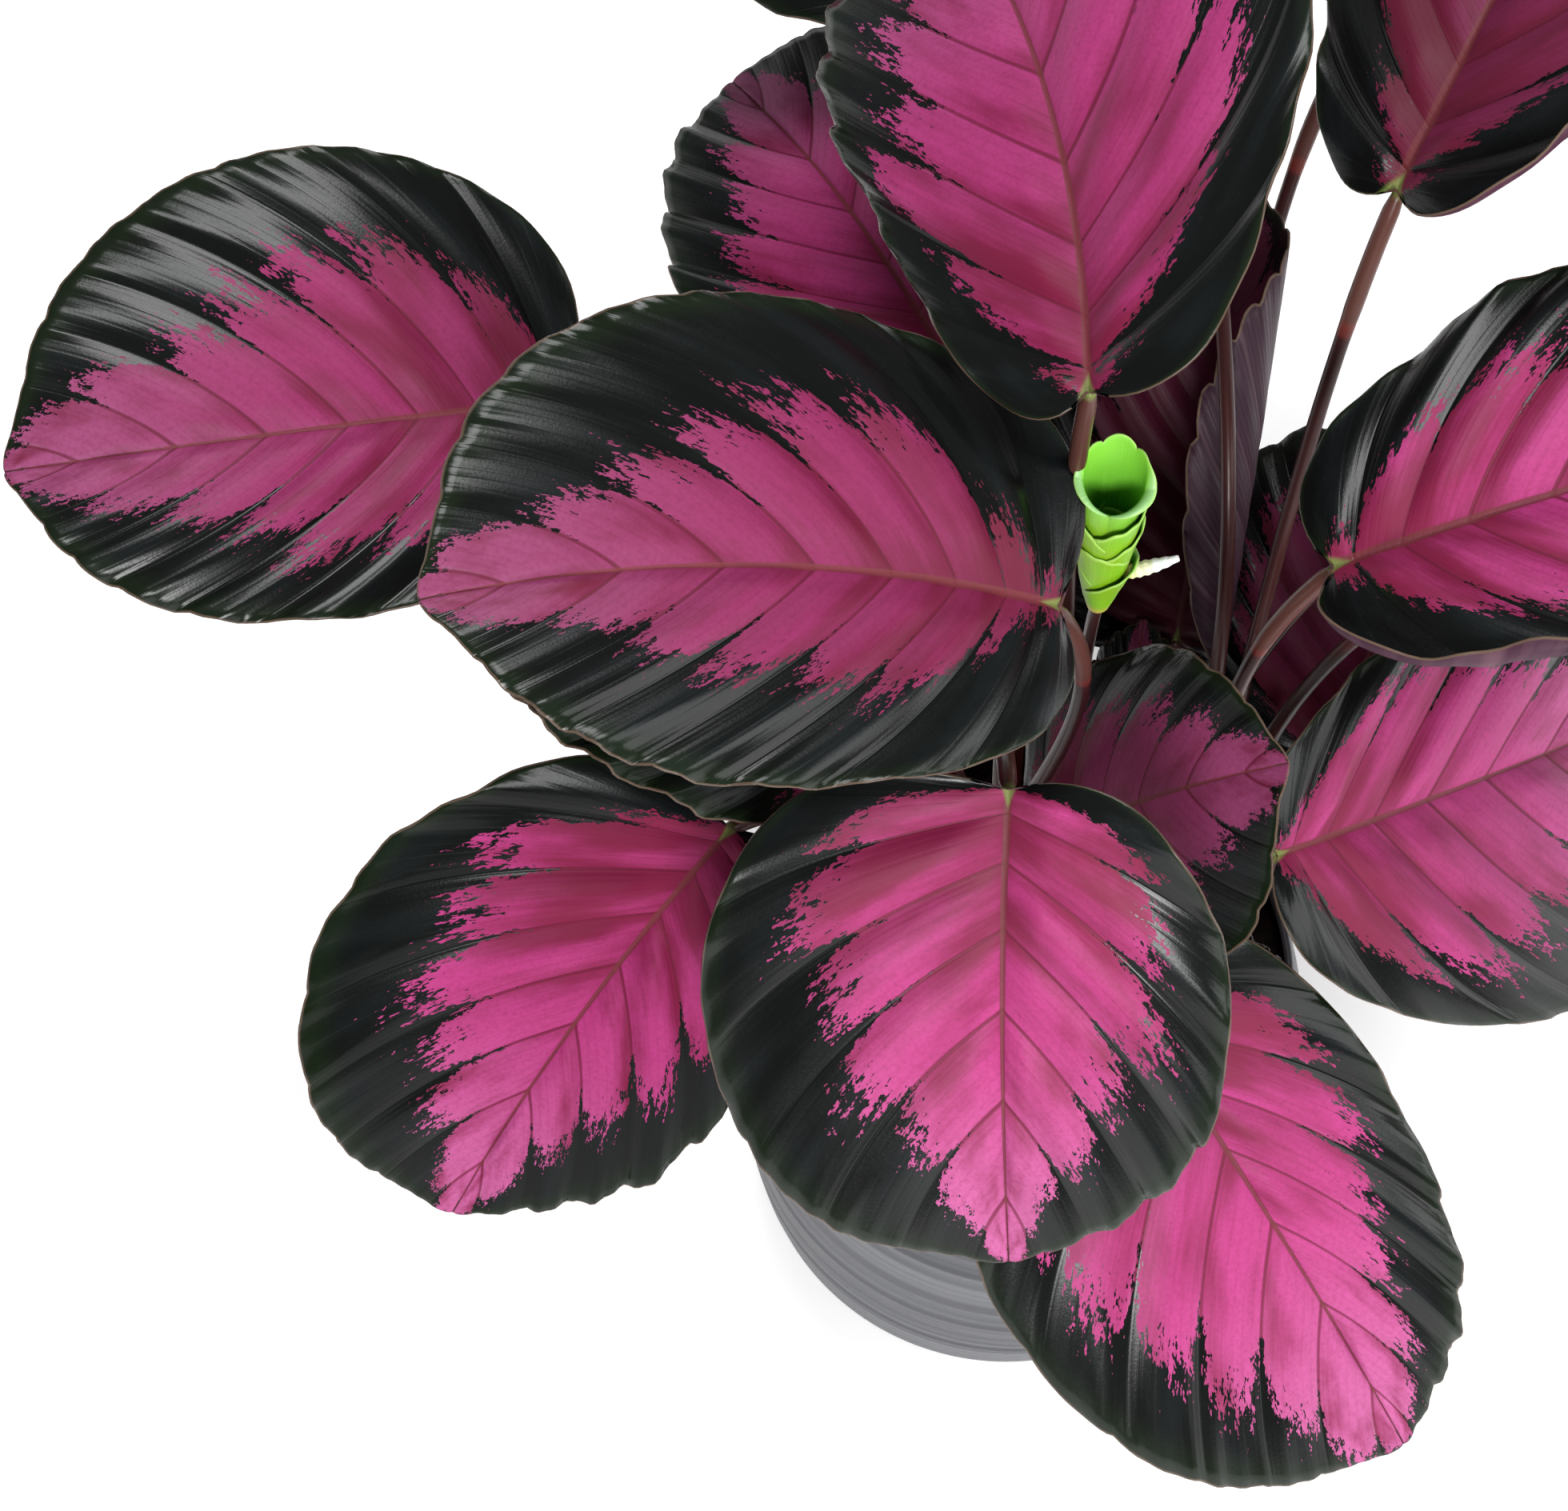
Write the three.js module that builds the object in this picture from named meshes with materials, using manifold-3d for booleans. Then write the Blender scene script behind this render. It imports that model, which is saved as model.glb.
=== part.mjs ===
// Potted crimson calathea: a rounded grey pot filled with soil, and a prayer plant with round,
// crimson-centred leaves on long stalks and one green flower spike.
// Millimetres, +Z up. The origin is the middle of the pot's underside, and -Y is the front.

import * as THREE from 'three';
import { mergeVertices } from 'three/addons/utils/BufferGeometryUtils.js';
import Module from 'manifold-3d';

const wasm = await Module();
wasm.setup();

// Driving dimensions of the pot and its filling
const POT_FOOT_RADIUS = 68;
const POT_BELLY_RADIUS = 76.5;
const POT_BELLY_LEVEL = 62;
const POT_MOUTH_RADIUS = 67;
const POT_HEIGHT = 130;
const POT_WALL = 2.5;
const POT_FLOOR = 4;
const POT_RINGS = 8;
const ROUND_SIDES = 40;
const DRAIN_COUNT = 8;
const DRAIN_RADIUS = 5;
const DRAIN_RING_RADIUS = 48;
const SOIL_LEVEL = 119;
const SOIL_CROWN = 3;
const TOUCH_GAP = 0.3;

// Driving dimensions of every leaf
const BLADE_THICKNESS = 0.8;
const BLADE_ROWS = 13;
const BLADE_COLUMNS = 3;
const MIDRIB_STEPS = 12;
const BASE_LOBE = 0.17;
const TIP_LENGTH = 0.035;
const SIDE_FOLD = 12;
const SIDE_CURL = -20;
const MARGIN_WAVE = 2.5;
const WAVES_PER_EDGE = 2.5;
const WAVE_SHIFT = 0.13;
const STALK_RADIUS = 2;
const SHEATH_RADIUS = 2.9;
const STALK_KNEE = 0.5;
const STALK_CLIMB = 0.35;
const STALK_SIDES = 6;
const STALK_STEPS = 9;
const ROOT_DEPTH = 13;
const HOLE_SIDES = 8;

// Driving dimensions of the flower spike
const SPIKE_ROOT = [-7, 38];
const SPIKE_FOOT = [-10.7, 25.5, 295];
const SPIKE_HEIGHT = 57;
const SPIKE_LEAN = [-2, 9];
const SPIKE_RADIUS = 9;
const SPIKE_SIDES = 20;
const FLOWER_STALK_RADIUS = 1.7;

// Each leaf: where its stalk leaves the soil, where its blade starts, which way the midrib
// heads (0 is +X, 90 is +Y, the back), how it rises, droops, swings and rolls along its
// length, and the blade's length and width. egg is above 0 for a blade widest near its
// base, lean above 0 for one whose right half is the wider. All angles are in degrees.
// climb is how steeply a stalk first climbs and knee how flat it meets its blade, and
// right and left are the angle at the midrib and the curl out to the edge of a rolled
// leaf's two halves. A leaf that states none of these has the common values above.
const LEAVES = [
  // Twelve grown leaves, from the left round the back to the right and the front
  { root: [-26, 34], seat: [-150, 79, 250], heading: 200,
    rise: 0, droop: 25, swing: -10, roll: 14, size: [143, 125], egg: 0, lean: 0.18 },
  { root: [-28, 3], seat: [-22, 3, 335], heading: 198,
    rise: 15, droop: 25, swing: 15, roll: 9, size: [157, 123], egg: -0.07, lean: 0.1 },
  { root: [-18, 44], seat: [-50, 77, 290], heading: 123,
    rise: -24, droop: 24, swing: 5, roll: 20, size: [150, 110], egg: 0, lean: 0.1 },
  { root: [-9, 55], seat: [-25, 34.5, 385], heading: 111,
    rise: -12, droop: 30, swing: 24, roll: 38, size: [179, 129], egg: -0.3, lean: 0.18, knee: 0.05 },
  { root: [35, 35], seat: [43, 125, 350], heading: 74,
    rise: 10, droop: 30, swing: 5, roll: 35, size: [155, 117], egg: -0.3, lean: 0.12 },
  { root: [37, 26], seat: [43, 32, 325], heading: 23,
    rise: 13, droop: 28, swing: 4, roll: 10, size: [158, 119], egg: -0.2, lean: -0.04 },
  { root: [41, 17], seat: [47, -5, 235], heading: 45,
    rise: -30, droop: 20, swing: 12, roll: -38, size: [158, 116], egg: -0.3, lean: 0.12 },
  { root: [4, 4], seat: [-10, -1, 210], heading: -10,
    rise: 60, droop: 12, swing: 0, roll: -36, size: [101, 85], egg: -0.12, lean: 0.12 },
  { root: [-30, 12], seat: [-90, -25, 235], heading: 234,
    rise: -50, droop: 16, swing: 8, roll: 40, size: [139, 121], egg: 0, lean: 0.2 },
  { root: [-16, -12], seat: [-25, -34, 307], heading: 287,
    rise: -52, droop: 18, swing: 14, roll: -14, size: [131, 131], egg: 0.03, lean: 0.14 },
  { root: [14, -26], seat: [12.5, -34, 208], heading: 327,
    rise: -43, droop: 18, swing: 6, roll: -18, size: [166, 118], egg: 0.07, lean: 0.24 },
  { root: [-32, 23], seat: [-55, 15, 250], heading: 195,
    rise: 33, droop: 25, swing: 2, roll: 8, size: [134, 101], egg: -0.05, lean: 0 },
  // A young leaf, still half rolled up
  { root: [11, 54], seat: [17, 74, 186], heading: 94,
    rise: 45, droop: 15, swing: 0, roll: 0, size: [122, 100], egg: -0.1, lean: 0,
    right: [20, 165], left: [5, 25] },
  // Three low leaves over the soil
  { root: [48, 34], seat: [60, 49, 183], heading: 75,
    rise: 8, droop: 30, swing: 0, roll: 0, size: [93, 87], egg: -0.28, lean: -0.18 },
  { root: [8, 18], seat: [8.5, 31, 171], heading: 92,
    rise: 31, droop: 15, swing: 0, roll: 0, size: [48, 27], egg: -0.1, lean: 0 },
  { root: [12, -10], seat: [14, -11, 165], heading: 2,
    rise: 5, droop: 12, swing: 0, roll: 0, size: [47, 36], egg: -0.1, lean: 0.35 },
  // Five grown leaves behind the others
  { root: [-3, 59], seat: [-60, 196, 300], heading: 140,
    rise: -10, droop: 25, swing: 0, roll: 10, size: [150, 115], egg: -0.1, lean: 0 },
  { root: [30, 40], seat: [-8, 195, 330], heading: 98,
    rise: 0, droop: 30, swing: 0, roll: 0, size: [150, 115], egg: -0.1, lean: 0, climb: 0.8 },
  { root: [23, 55], seat: [34, 212, 285], heading: 60,
    rise: -15, droop: 25, swing: 0, roll: -10, size: [150, 115], egg: -0.1, lean: 0, climb: 0.45 },
  { root: [28, 51], seat: [118, 132, 295], heading: 35,
    rise: -5, droop: 25, swing: 0, roll: -10, size: [150, 115], egg: -0.1, lean: 0, climb: 0.8 },
  { root: [41, 44], seat: [132, 72, 300], heading: -12,
    rise: -10, droop: 25, swing: 0, roll: -10, size: [150, 116], egg: -0.1, lean: 0, climb: 0.9 },
];

const MATERIALS = {
  pot: new THREE.MeshStandardMaterial({ color: 0x5c6064, roughness: 0.55, metalness: 0 }),
  soil: new THREE.MeshStandardMaterial({ color: 0x2c211a, roughness: 0.95, metalness: 0 }),
  blade: new THREE.MeshStandardMaterial({ color: 0xb23a72, roughness: 0.45, metalness: 0 }),
  stalk: new THREE.MeshStandardMaterial({ color: 0x4c322f, roughness: 0.5, metalness: 0 }),
  bract: new THREE.MeshStandardMaterial({ color: 0x86d820, roughness: 0.5, metalness: 0 }),
  bud: new THREE.MeshStandardMaterial({ color: 0xf2ead2, roughness: 0.5, metalness: 0 }),
};

const radians = THREE.MathUtils.degToRad;
const plant = new THREE.Group();

function addMesh(name, geometry, material) {
  const mesh = new THREE.Mesh(geometry, material);
  mesh.name = name;
  plant.add(mesh);
}

function geometryFrom(points, triangles) {
  const geometry = new THREE.BufferGeometry();
  const positions = points.flatMap((point) => [point.x, point.y, point.z]);
  geometry.setAttribute('position', new THREE.Float32BufferAttribute(positions, 3));
  geometry.setIndex(triangles.flat());
  geometry.computeVertexNormals();
  return geometry;
}

// Booleans for the pot and the soil

function solidFrom(geometry) {
  const bare = geometry.clone();
  bare.deleteAttribute('normal');
  bare.deleteAttribute('uv');
  const merged = mergeVertices(bare, 1e-3);
  const index = Array.from(merged.index.array);
  const triangles = [];
  for (let i = 0; i < index.length; i += 3) {
    const [a, b, c] = index.slice(i, i + 3);
    if (a !== b && b !== c && c !== a) triangles.push(a, b, c);
  }
  return new wasm.Manifold(new wasm.Mesh({
    numProp: 3,
    vertProperties: Float32Array.from(merged.attributes.position.array),
    triVerts: Uint32Array.from(triangles),
  }));
}

function geometryOf(solid) {
  const mesh = solid.getMesh();
  const geometry = new THREE.BufferGeometry();
  geometry.setAttribute('position', new THREE.BufferAttribute(new Float32Array(mesh.vertProperties), 3));
  geometry.setIndex(new THREE.BufferAttribute(new Uint32Array(mesh.triVerts), 1));
  geometry.computeVertexNormals();
  return geometry;
}

function turned(profile) {
  const outline = profile.map(([radius, height]) => new THREE.Vector2(radius, height));
  return new THREE.LatheGeometry(outline, ROUND_SIDES).rotateX(Math.PI / 2);
}

function upright(radius, low, high, sides, x, y) {
  const geometry = new THREE.CylinderGeometry(radius, radius, high - low, sides);
  return geometry.rotateX(Math.PI / 2).translate(x, y, (low + high) / 2);
}

// The outer radius at a height: widest at the belly, and narrower to the foot and the mouth
function potRadius(height) {
  const below = height < POT_BELLY_LEVEL;
  const end = below ? POT_FOOT_RADIUS : POT_MOUTH_RADIUS;
  const reach = below ? POT_BELLY_LEVEL : POT_HEIGHT - POT_BELLY_LEVEL;
  const share = (height - POT_BELLY_LEVEL) / reach;
  return POT_BELLY_RADIUS - (POT_BELLY_RADIUS - end) * share * share;
}

function ringHeights(low, high) {
  const heights = [];
  for (let i = 1; i < POT_RINGS; i += 1) heights.push(POT_HEIGHT * i / POT_RINGS);
  return heights.filter((height) => height > low && height < high);
}

function addPot() {
  const rings = ringHeights(0, POT_HEIGHT);
  const profile = [
    [0, 0],
    [POT_FOOT_RADIUS - 1.5, 0],
    [potRadius(1.5), 1.5],
    ...rings.map((height) => [potRadius(height), height]),
    [potRadius(POT_HEIGHT - 1), POT_HEIGHT - 1],
    [POT_MOUTH_RADIUS - 0.8, POT_HEIGHT],
    [POT_MOUTH_RADIUS - POT_WALL, POT_HEIGHT],
    ...rings.toReversed().map((height) => [potRadius(height) - POT_WALL, height]),
    [potRadius(POT_FLOOR) - POT_WALL, POT_FLOOR],
    [0, POT_FLOOR],
  ];
  let shell = solidFrom(turned(profile));
  for (let i = 0; i < DRAIN_COUNT; i += 1) {
    const angle = 2 * Math.PI * (i + 0.5) / DRAIN_COUNT;
    const x = DRAIN_RING_RADIUS * Math.cos(angle);
    const y = DRAIN_RING_RADIUS * Math.sin(angle);
    shell = shell.subtract(solidFrom(upright(DRAIN_RADIUS, -5, 8, 12, x, y)));
  }
  addMesh('pot', geometryOf(shell), MATERIALS.pot);
}

function addSoil() {
  const floor = POT_FLOOR + TOUCH_GAP;
  const shoulder = SOIL_LEVEL - 3;
  const inner = (height) => potRadius(height) - POT_WALL - TOUCH_GAP - 0.1;
  const profile = [
    [0, floor],
    [inner(floor) - 0.3, floor],
    ...ringHeights(floor, shoulder).map((height) => [inner(height), height]),
    [inner(shoulder), shoulder],
    [POT_MOUTH_RADIUS * 0.75, SOIL_LEVEL],
    [0, SOIL_LEVEL + SOIL_CROWN],
  ];
  let bed = solidFrom(turned(profile));
  const holes = LEAVES.map((leaf) => [leaf.root, SHEATH_RADIUS]);
  holes.push([SPIKE_ROOT, FLOWER_STALK_RADIUS]);
  const bottom = SOIL_LEVEL - ROOT_DEPTH - TOUCH_GAP;
  for (const [[x, y], radius] of holes) {
    const width = (radius + TOUCH_GAP) / Math.cos(Math.PI / HOLE_SIDES);
    const hole = upright(width, bottom, SOIL_LEVEL + 20, HOLE_SIDES, x, y);
    bed = bed.subtract(solidFrom(hole));
  }
  addMesh('soil', geometryOf(bed), MATERIALS.soil);
}

// A round stalk swept along its points, with a radius at each, as one closed tube

function sweptTube(points, radii, sides) {
  const verts = [];
  const triangles = [];
  let side = new THREE.Vector3(1, 0, 0);
  points.forEach((point, i) => {
    const before = points[Math.max(i - 1, 0)];
    const after = points[Math.min(i + 1, points.length - 1)];
    const along = after.clone().sub(before).normalize();
    side = side.clone().addScaledVector(along, -side.dot(along)).normalize();
    const other = along.clone().cross(side);
    for (let k = 0; k < sides; k += 1) {
      const angle = 2 * Math.PI * k / sides;
      const rim = side.clone().multiplyScalar(Math.cos(angle)).addScaledVector(other, Math.sin(angle));
      verts.push(point.clone().addScaledVector(rim, radii[i]));
    }
  });
  for (let i = 0; i + 1 < points.length; i += 1) {
    for (let k = 0; k < sides; k += 1) {
      const a = i * sides + k;
      const b = i * sides + (k + 1) % sides;
      triangles.push([a, b, b + sides], [a, b + sides, a + sides]);
    }
  }
  const last = (points.length - 1) * sides;
  for (let k = 1; k + 1 < sides; k += 1) {
    triangles.push([0, k + 1, k], [last, last + k, last + k + 1]);
  }
  return geometryFrom(verts, triangles);
}

// The leaf blade: flat outline, place in space, and the thin solid between its two faces

function marginPoint(leaf, q, side) {
  const [length, width] = leaf.size;
  const turn = Math.PI * q;
  const half = width / 2 * (1 + side * leaf.lean);
  const x = half * Math.sin(turn) * (1 + leaf.egg * Math.cos(turn));
  const lobe = BASE_LOBE * Math.sin(turn) * (1 + Math.cos(turn)) ** 2 / 4;
  const tip = TIP_LENGTH * Math.exp(-(((Math.PI - turn) / 0.16) ** 2));
  return [side * x, length * ((1 - Math.cos(turn)) / 2 - lobe + tip)];
}

function veinPoint(leaf, q, side, t) {
  const [length] = leaf.size;
  const start = length * q ** 4;
  const [edgeX, edgeY] = marginPoint(leaf, q, side);
  const bendX = 0.6 * edgeX;
  const bendY = start + 0.48 * (edgeY - start);
  const x = 2 * t * (1 - t) * bendX + t * t * edgeX;
  const y = (1 - t) ** 2 * start + 2 * t * (1 - t) * bendY + t * t * edgeY;
  return [x, y];
}

function headingOf(leaf, along) {
  const heading = radians(leaf.heading + leaf.swing * (along - 0.5));
  const pitch = radians(leaf.rise - leaf.droop * (along - 0.5));
  const roll = radians(leaf.roll);
  const flat = Math.cos(pitch);
  const tangent = new THREE.Vector3(flat * Math.cos(heading), flat * Math.sin(heading), Math.sin(pitch));
  const rise = Math.sin(pitch);
  const up = new THREE.Vector3(-rise * Math.cos(heading), -rise * Math.sin(heading), flat);
  const right = tangent.clone().cross(up);
  const side = right.clone().multiplyScalar(Math.cos(roll)).addScaledVector(up, Math.sin(roll));
  const normal = up.clone().multiplyScalar(Math.cos(roll)).addScaledVector(right, -Math.sin(roll));
  return { tangent, side, normal };
}

function midribPoint(leaf, along) {
  const [length] = leaf.size;
  const point = new THREE.Vector3(...leaf.seat);
  for (let i = 0; i < MIDRIB_STEPS; i += 1) {
    const { tangent } = headingOf(leaf, along * (i + 0.5) / MIDRIB_STEPS);
    point.addScaledVector(tangent, length * along / MIDRIB_STEPS);
  }
  return point;
}

function bladePoint(leaf, q, side, t) {
  const [length, width] = leaf.size;
  const [x, y] = veinPoint(leaf, q, side, t);
  const along = Math.max(y / length, 0);
  const axes = headingOf(leaf, along);
  const point = midribPoint(leaf, along).addScaledVector(axes.tangent, Math.min(y, 0));
  const [fold, curl] = (side > 0 ? leaf.right : leaf.left) ?? [SIDE_FOLD, SIDE_CURL];
  const foldAngle = radians(fold);
  const curlAngle = radians(curl);
  const edgeAngle = foldAngle + curlAngle * Math.abs(x) / (width / 2);
  const radius = width / 2 / curlAngle;
  const outward = (Math.sin(edgeAngle) - Math.sin(foldAngle)) * radius;
  const lift = (Math.cos(foldAngle) - Math.cos(edgeAngle)) * radius;
  const phase = WAVES_PER_EDGE * q + WAVE_SHIFT * leaf.heading * side;
  const wave = MARGIN_WAVE * t * t * Math.sin(2 * Math.PI * phase) * Math.sin(Math.PI * q);
  return point.addScaledVector(axes.side, side * outward).addScaledVector(axes.normal, lift + wave);
}

function thickened(points, triangles, thickness) {
  const normals = points.map(() => new THREE.Vector3());
  const rims = new Map();
  for (const [a, b, c] of triangles) {
    const face = points[b].clone().sub(points[a]).cross(points[c].clone().sub(points[a]));
    for (const corner of [a, b, c]) normals[corner].add(face);
    for (const [from, to] of [[a, b], [b, c], [c, a]]) {
      if (!rims.delete(`${to}_${from}`)) rims.set(`${from}_${to}`, [from, to]);
    }
  }
  normals.forEach((normal) => normal.normalize());
  const upper = points.map((point, i) => point.clone().addScaledVector(normals[i], thickness / 2));
  const lower = points.map((point, i) => point.clone().addScaledVector(normals[i], -thickness / 2));
  const count = points.length;
  const shell = triangles.map(([a, b, c]) => [a, b, c]);
  for (const [a, b, c] of triangles) shell.push([a + count, c + count, b + count]);
  for (const [from, to] of rims.values()) {
    shell.push([to, from, from + count], [to, from + count, to + count]);
  }
  return geometryFrom([...upper, ...lower], shell);
}

function bladeGeometry(leaf) {
  const points = [bladePoint(leaf, 0, 1, 0)];
  const rowStart = [];
  const columns = 2 * BLADE_COLUMNS + 1;
  for (let row = 1; row < BLADE_ROWS; row += 1) {
    rowStart.push(points.length);
    for (let column = -BLADE_COLUMNS; column <= BLADE_COLUMNS; column += 1) {
      const side = column < 0 ? -1 : 1;
      points.push(bladePoint(leaf, row / BLADE_ROWS, side, Math.abs(column) / BLADE_COLUMNS));
    }
  }
  const tip = points.length;
  points.push(bladePoint(leaf, 1, 1, 1));
  const triangles = [];
  for (let column = 0; column + 1 < columns; column += 1) {
    triangles.push([0, rowStart[0] + column + 1, rowStart[0] + column]);
    for (let row = 0; row + 1 < rowStart.length; row += 1) {
      const a = rowStart[row] + column;
      const b = rowStart[row + 1] + column;
      triangles.push([a, a + 1, b + 1], [a, b + 1, b]);
    }
    const end = rowStart.at(-1) + column;
    triangles.push([end, end + 1, tip]);
  }
  return thickened(points, triangles, BLADE_THICKNESS);
}

// The leaf stalk: straight out of its hole, then one bend up to the blade's underside

function bezier(p0, p1, p2, p3) {
  return new THREE.CubicBezierCurve3(p0, p1, p2, p3);
}

function stalkGeometry(leaf) {
  const [x, y] = leaf.root;
  const { tangent, normal } = headingOf(leaf, 0);
  const start = new THREE.Vector3(x, y, SOIL_LEVEL + SOIL_CROWN + 2);
  const seat = new THREE.Vector3(...leaf.seat);
  const span = seat.distanceTo(start);
  const knee = leaf.knee ?? STALK_KNEE;
  const arrival = tangent.clone().multiplyScalar(knee).add(new THREE.Vector3(0, 0, 1 - knee)).normalize();
  const tilt = arrival.dot(normal);
  const below = BLADE_THICKNESS / 2 + TOUCH_GAP + STALK_RADIUS * Math.sqrt(Math.max(1 - tilt * tilt, 0));
  const end = seat.clone().addScaledVector(normal, -below).addScaledVector(tangent, 2);
  const first = start.clone().add(new THREE.Vector3(0, 0, span * (leaf.climb ?? STALK_CLIMB)));
  const second = end.clone().addScaledVector(arrival, -span * 0.3);
  const path = bezier(start, first, second, end);
  const points = [new THREE.Vector3(x, y, SOIL_LEVEL - ROOT_DEPTH)];
  const radii = [SHEATH_RADIUS];
  for (let i = 0; i <= STALK_STEPS; i += 1) {
    const share = i / STALK_STEPS;
    points.push(path.getPoint(share));
    radii.push(STALK_RADIUS + (SHEATH_RADIUS - STALK_RADIUS) * Math.max(1 - share * 2.5, 0));
  }
  return sweptTube(points, radii, STALK_SIDES);
}

function addLeaves() {
  LEAVES.forEach((leaf, i) => {
    const name = `leaf_${String(i + 1).padStart(2, '0')}`;
    addMesh(`${name}_blade`, bladeGeometry(leaf), MATERIALS.blade);
    addMesh(`${name}_stalk`, stalkGeometry(leaf), MATERIALS.stalk);
  });
}

// The flower spike: a stalk, a cup of overlapping bracts and one small flower bud

function addFlowerStalk() {
  const [x, y] = SPIKE_ROOT;
  const foot = new THREE.Vector3(...SPIKE_FOOT);
  const start = new THREE.Vector3(x, y, SOIL_LEVEL + SOIL_CROWN + 2);
  const end = foot.clone().add(new THREE.Vector3(0, 0, -TOUCH_GAP));
  const first = start.clone().add(new THREE.Vector3(0, 0, 110));
  const second = end.clone().add(new THREE.Vector3(0, 0, -30));
  const path = bezier(start, first, second, end);
  const points = [new THREE.Vector3(x, y, SOIL_LEVEL - ROOT_DEPTH), ...path.getPoints(STALK_STEPS)];
  const radii = points.map(() => FLOWER_STALK_RADIUS);
  addMesh('flower_stalk', sweptTube(points, radii, STALK_SIDES), MATERIALS.stalk);
}

function addBracts() {
  const foot = new THREE.Vector3(...SPIKE_FOOT);
  // Rows of the cup from its foot up the outside, over the lip and down to the inner floor:
  // share of the spike's radius, share of its height, and how far the lobes show.
  const rows = [
    [0.2, 0, 0], [0.42, 0.1, 0], [0.64, 0.24, 0.02], [0.74, 0.4, 0.03], [0.82, 0.55, 0.03],
    [0.9, 0.72, 0.05], [1.03, 0.93, 0.1], [0.95, 0.95, 0.1], [0.66, 0.72, 0.04], [0.34, 0.55, 0],
  ];
  const points = [];
  for (const [radius, height, lobe] of rows) {
    for (let k = 0; k < SPIKE_SIDES; k += 1) {
      const angle = 2 * Math.PI * k / SPIKE_SIDES;
      const reach = SPIKE_RADIUS * radius * (1 + lobe * Math.cos(3 * angle));
      const notch = height > 0.9 ? 0.1 * Math.sin(angle) + 0.05 * Math.cos(3 * angle) : 0;
      const lift = SPIKE_HEIGHT * (height + notch);
      const east = reach * Math.cos(angle) + SPIKE_LEAN[0] * height;
      const back = reach * Math.sin(angle) + SPIKE_LEAN[1] * height;
      points.push(foot.clone().add(new THREE.Vector3(east, back, lift)));
    }
  }
  const triangles = [];
  for (let row = 0; row + 1 < rows.length; row += 1) {
    for (let k = 0; k < SPIKE_SIDES; k += 1) {
      const a = row * SPIKE_SIDES + k;
      const b = row * SPIKE_SIDES + (k + 1) % SPIKE_SIDES;
      triangles.push([a, b, b + SPIKE_SIDES], [a, b + SPIKE_SIDES, a + SPIKE_SIDES]);
    }
  }
  const last = (rows.length - 1) * SPIKE_SIDES;
  for (let k = 1; k + 1 < SPIKE_SIDES; k += 1) {
    triangles.push([0, k + 1, k], [last, last + k, last + k + 1]);
  }
  addMesh('flower_bracts', geometryFrom(points, triangles), MATERIALS.bract);
}

function addBud() {
  const foot = new THREE.Vector3(...SPIKE_FOOT);
  const out = SPIKE_RADIUS * 0.78 + 0.6 + SPIKE_LEAN[0] * 0.4;
  const from = foot.clone().add(new THREE.Vector3(out, SPIKE_LEAN[1] * 0.4, SPIKE_HEIGHT * 0.4));
  const bend = from.clone().add(new THREE.Vector3(4, 0, 1.5));
  const to = from.clone().add(new THREE.Vector3(9.5, 0, 4));
  const points = new THREE.QuadraticBezierCurve3(from, bend, to).getPoints(4);
  addMesh('flower_bud', sweptTube(points, [1.2, 1.6, 1.7, 1.3, 0.4], 8), MATERIALS.bud);
}

addPot();
addSoil();
addLeaves();
addFlowerStalk();
addBracts();
addBud();

export default plant;
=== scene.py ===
"""Potted crimson calathea: a rounded grey pot with soil, leaves with a crimson middle and a
black-green edge on long stalks, one green flower spike, and a studio floor with its lights."""

import dataclasses
import math

import bpy
import numpy as np
from mathutils import Matrix, Vector


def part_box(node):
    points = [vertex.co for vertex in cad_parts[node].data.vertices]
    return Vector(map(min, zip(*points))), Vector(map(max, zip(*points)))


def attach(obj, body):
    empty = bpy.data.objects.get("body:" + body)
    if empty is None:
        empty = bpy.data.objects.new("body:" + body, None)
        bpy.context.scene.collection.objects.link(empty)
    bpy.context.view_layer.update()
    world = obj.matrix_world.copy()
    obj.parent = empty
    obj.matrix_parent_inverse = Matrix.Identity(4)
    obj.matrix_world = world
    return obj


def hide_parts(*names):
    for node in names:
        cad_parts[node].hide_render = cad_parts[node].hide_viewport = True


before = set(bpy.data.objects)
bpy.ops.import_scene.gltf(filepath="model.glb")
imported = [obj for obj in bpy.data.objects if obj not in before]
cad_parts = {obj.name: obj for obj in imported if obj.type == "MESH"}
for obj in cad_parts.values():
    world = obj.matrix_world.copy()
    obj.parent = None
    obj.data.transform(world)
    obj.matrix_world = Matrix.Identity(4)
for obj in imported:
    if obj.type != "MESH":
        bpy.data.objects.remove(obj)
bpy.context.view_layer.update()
POT_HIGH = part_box("pot")[1]
SOIL_LOW, SOIL_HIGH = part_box("soil")

bl_info = {
    "name": "Potted Crimson Calathea",
    "version": (1, 0, 0),
    "blender": (4, 5, 0),
    "location": "3D View > Sidebar > Calathea",
    "description": "Dresses a potted prayer plant with veined leaves, stalks, a flower spike and its pot",
    "category": "Object",
}

BODY = "root"
MM = 0.001

# Shape of every leaf, in millimetres and degrees
BASE_LOBE = 0.17
TIP_LENGTH = 0.035
TIP_SPREAD = 0.16
SIDE_FOLD = 12
SIDE_CURL = -20
MARGIN_WAVE = 2.5
WAVES_PER_EDGE = 2.5
WAVE_SHIFT = 0.13
MIDRIB_STEPS = 12
BLADE_THICKNESS = 0.7
FULL_SIZE = 120
VEIN_CROWDING = 2
VEIN_START_POWER = 3.3
VEIN_BEND = (0.64, 0.36)
HEM_START = 0.83
MIDRIB_GROOVE = 0.22
BLADE_ROWS = 104
BLADE_COLUMNS = 28
STALK_START = 124
STALK_KNEE = 0.5
STALK_CLIMB = 0.35
STALK_STEPS = 64
STALK_SIDES = 16
JOINT_REACH = 42
ROOT_LEVEL = 106

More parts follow.
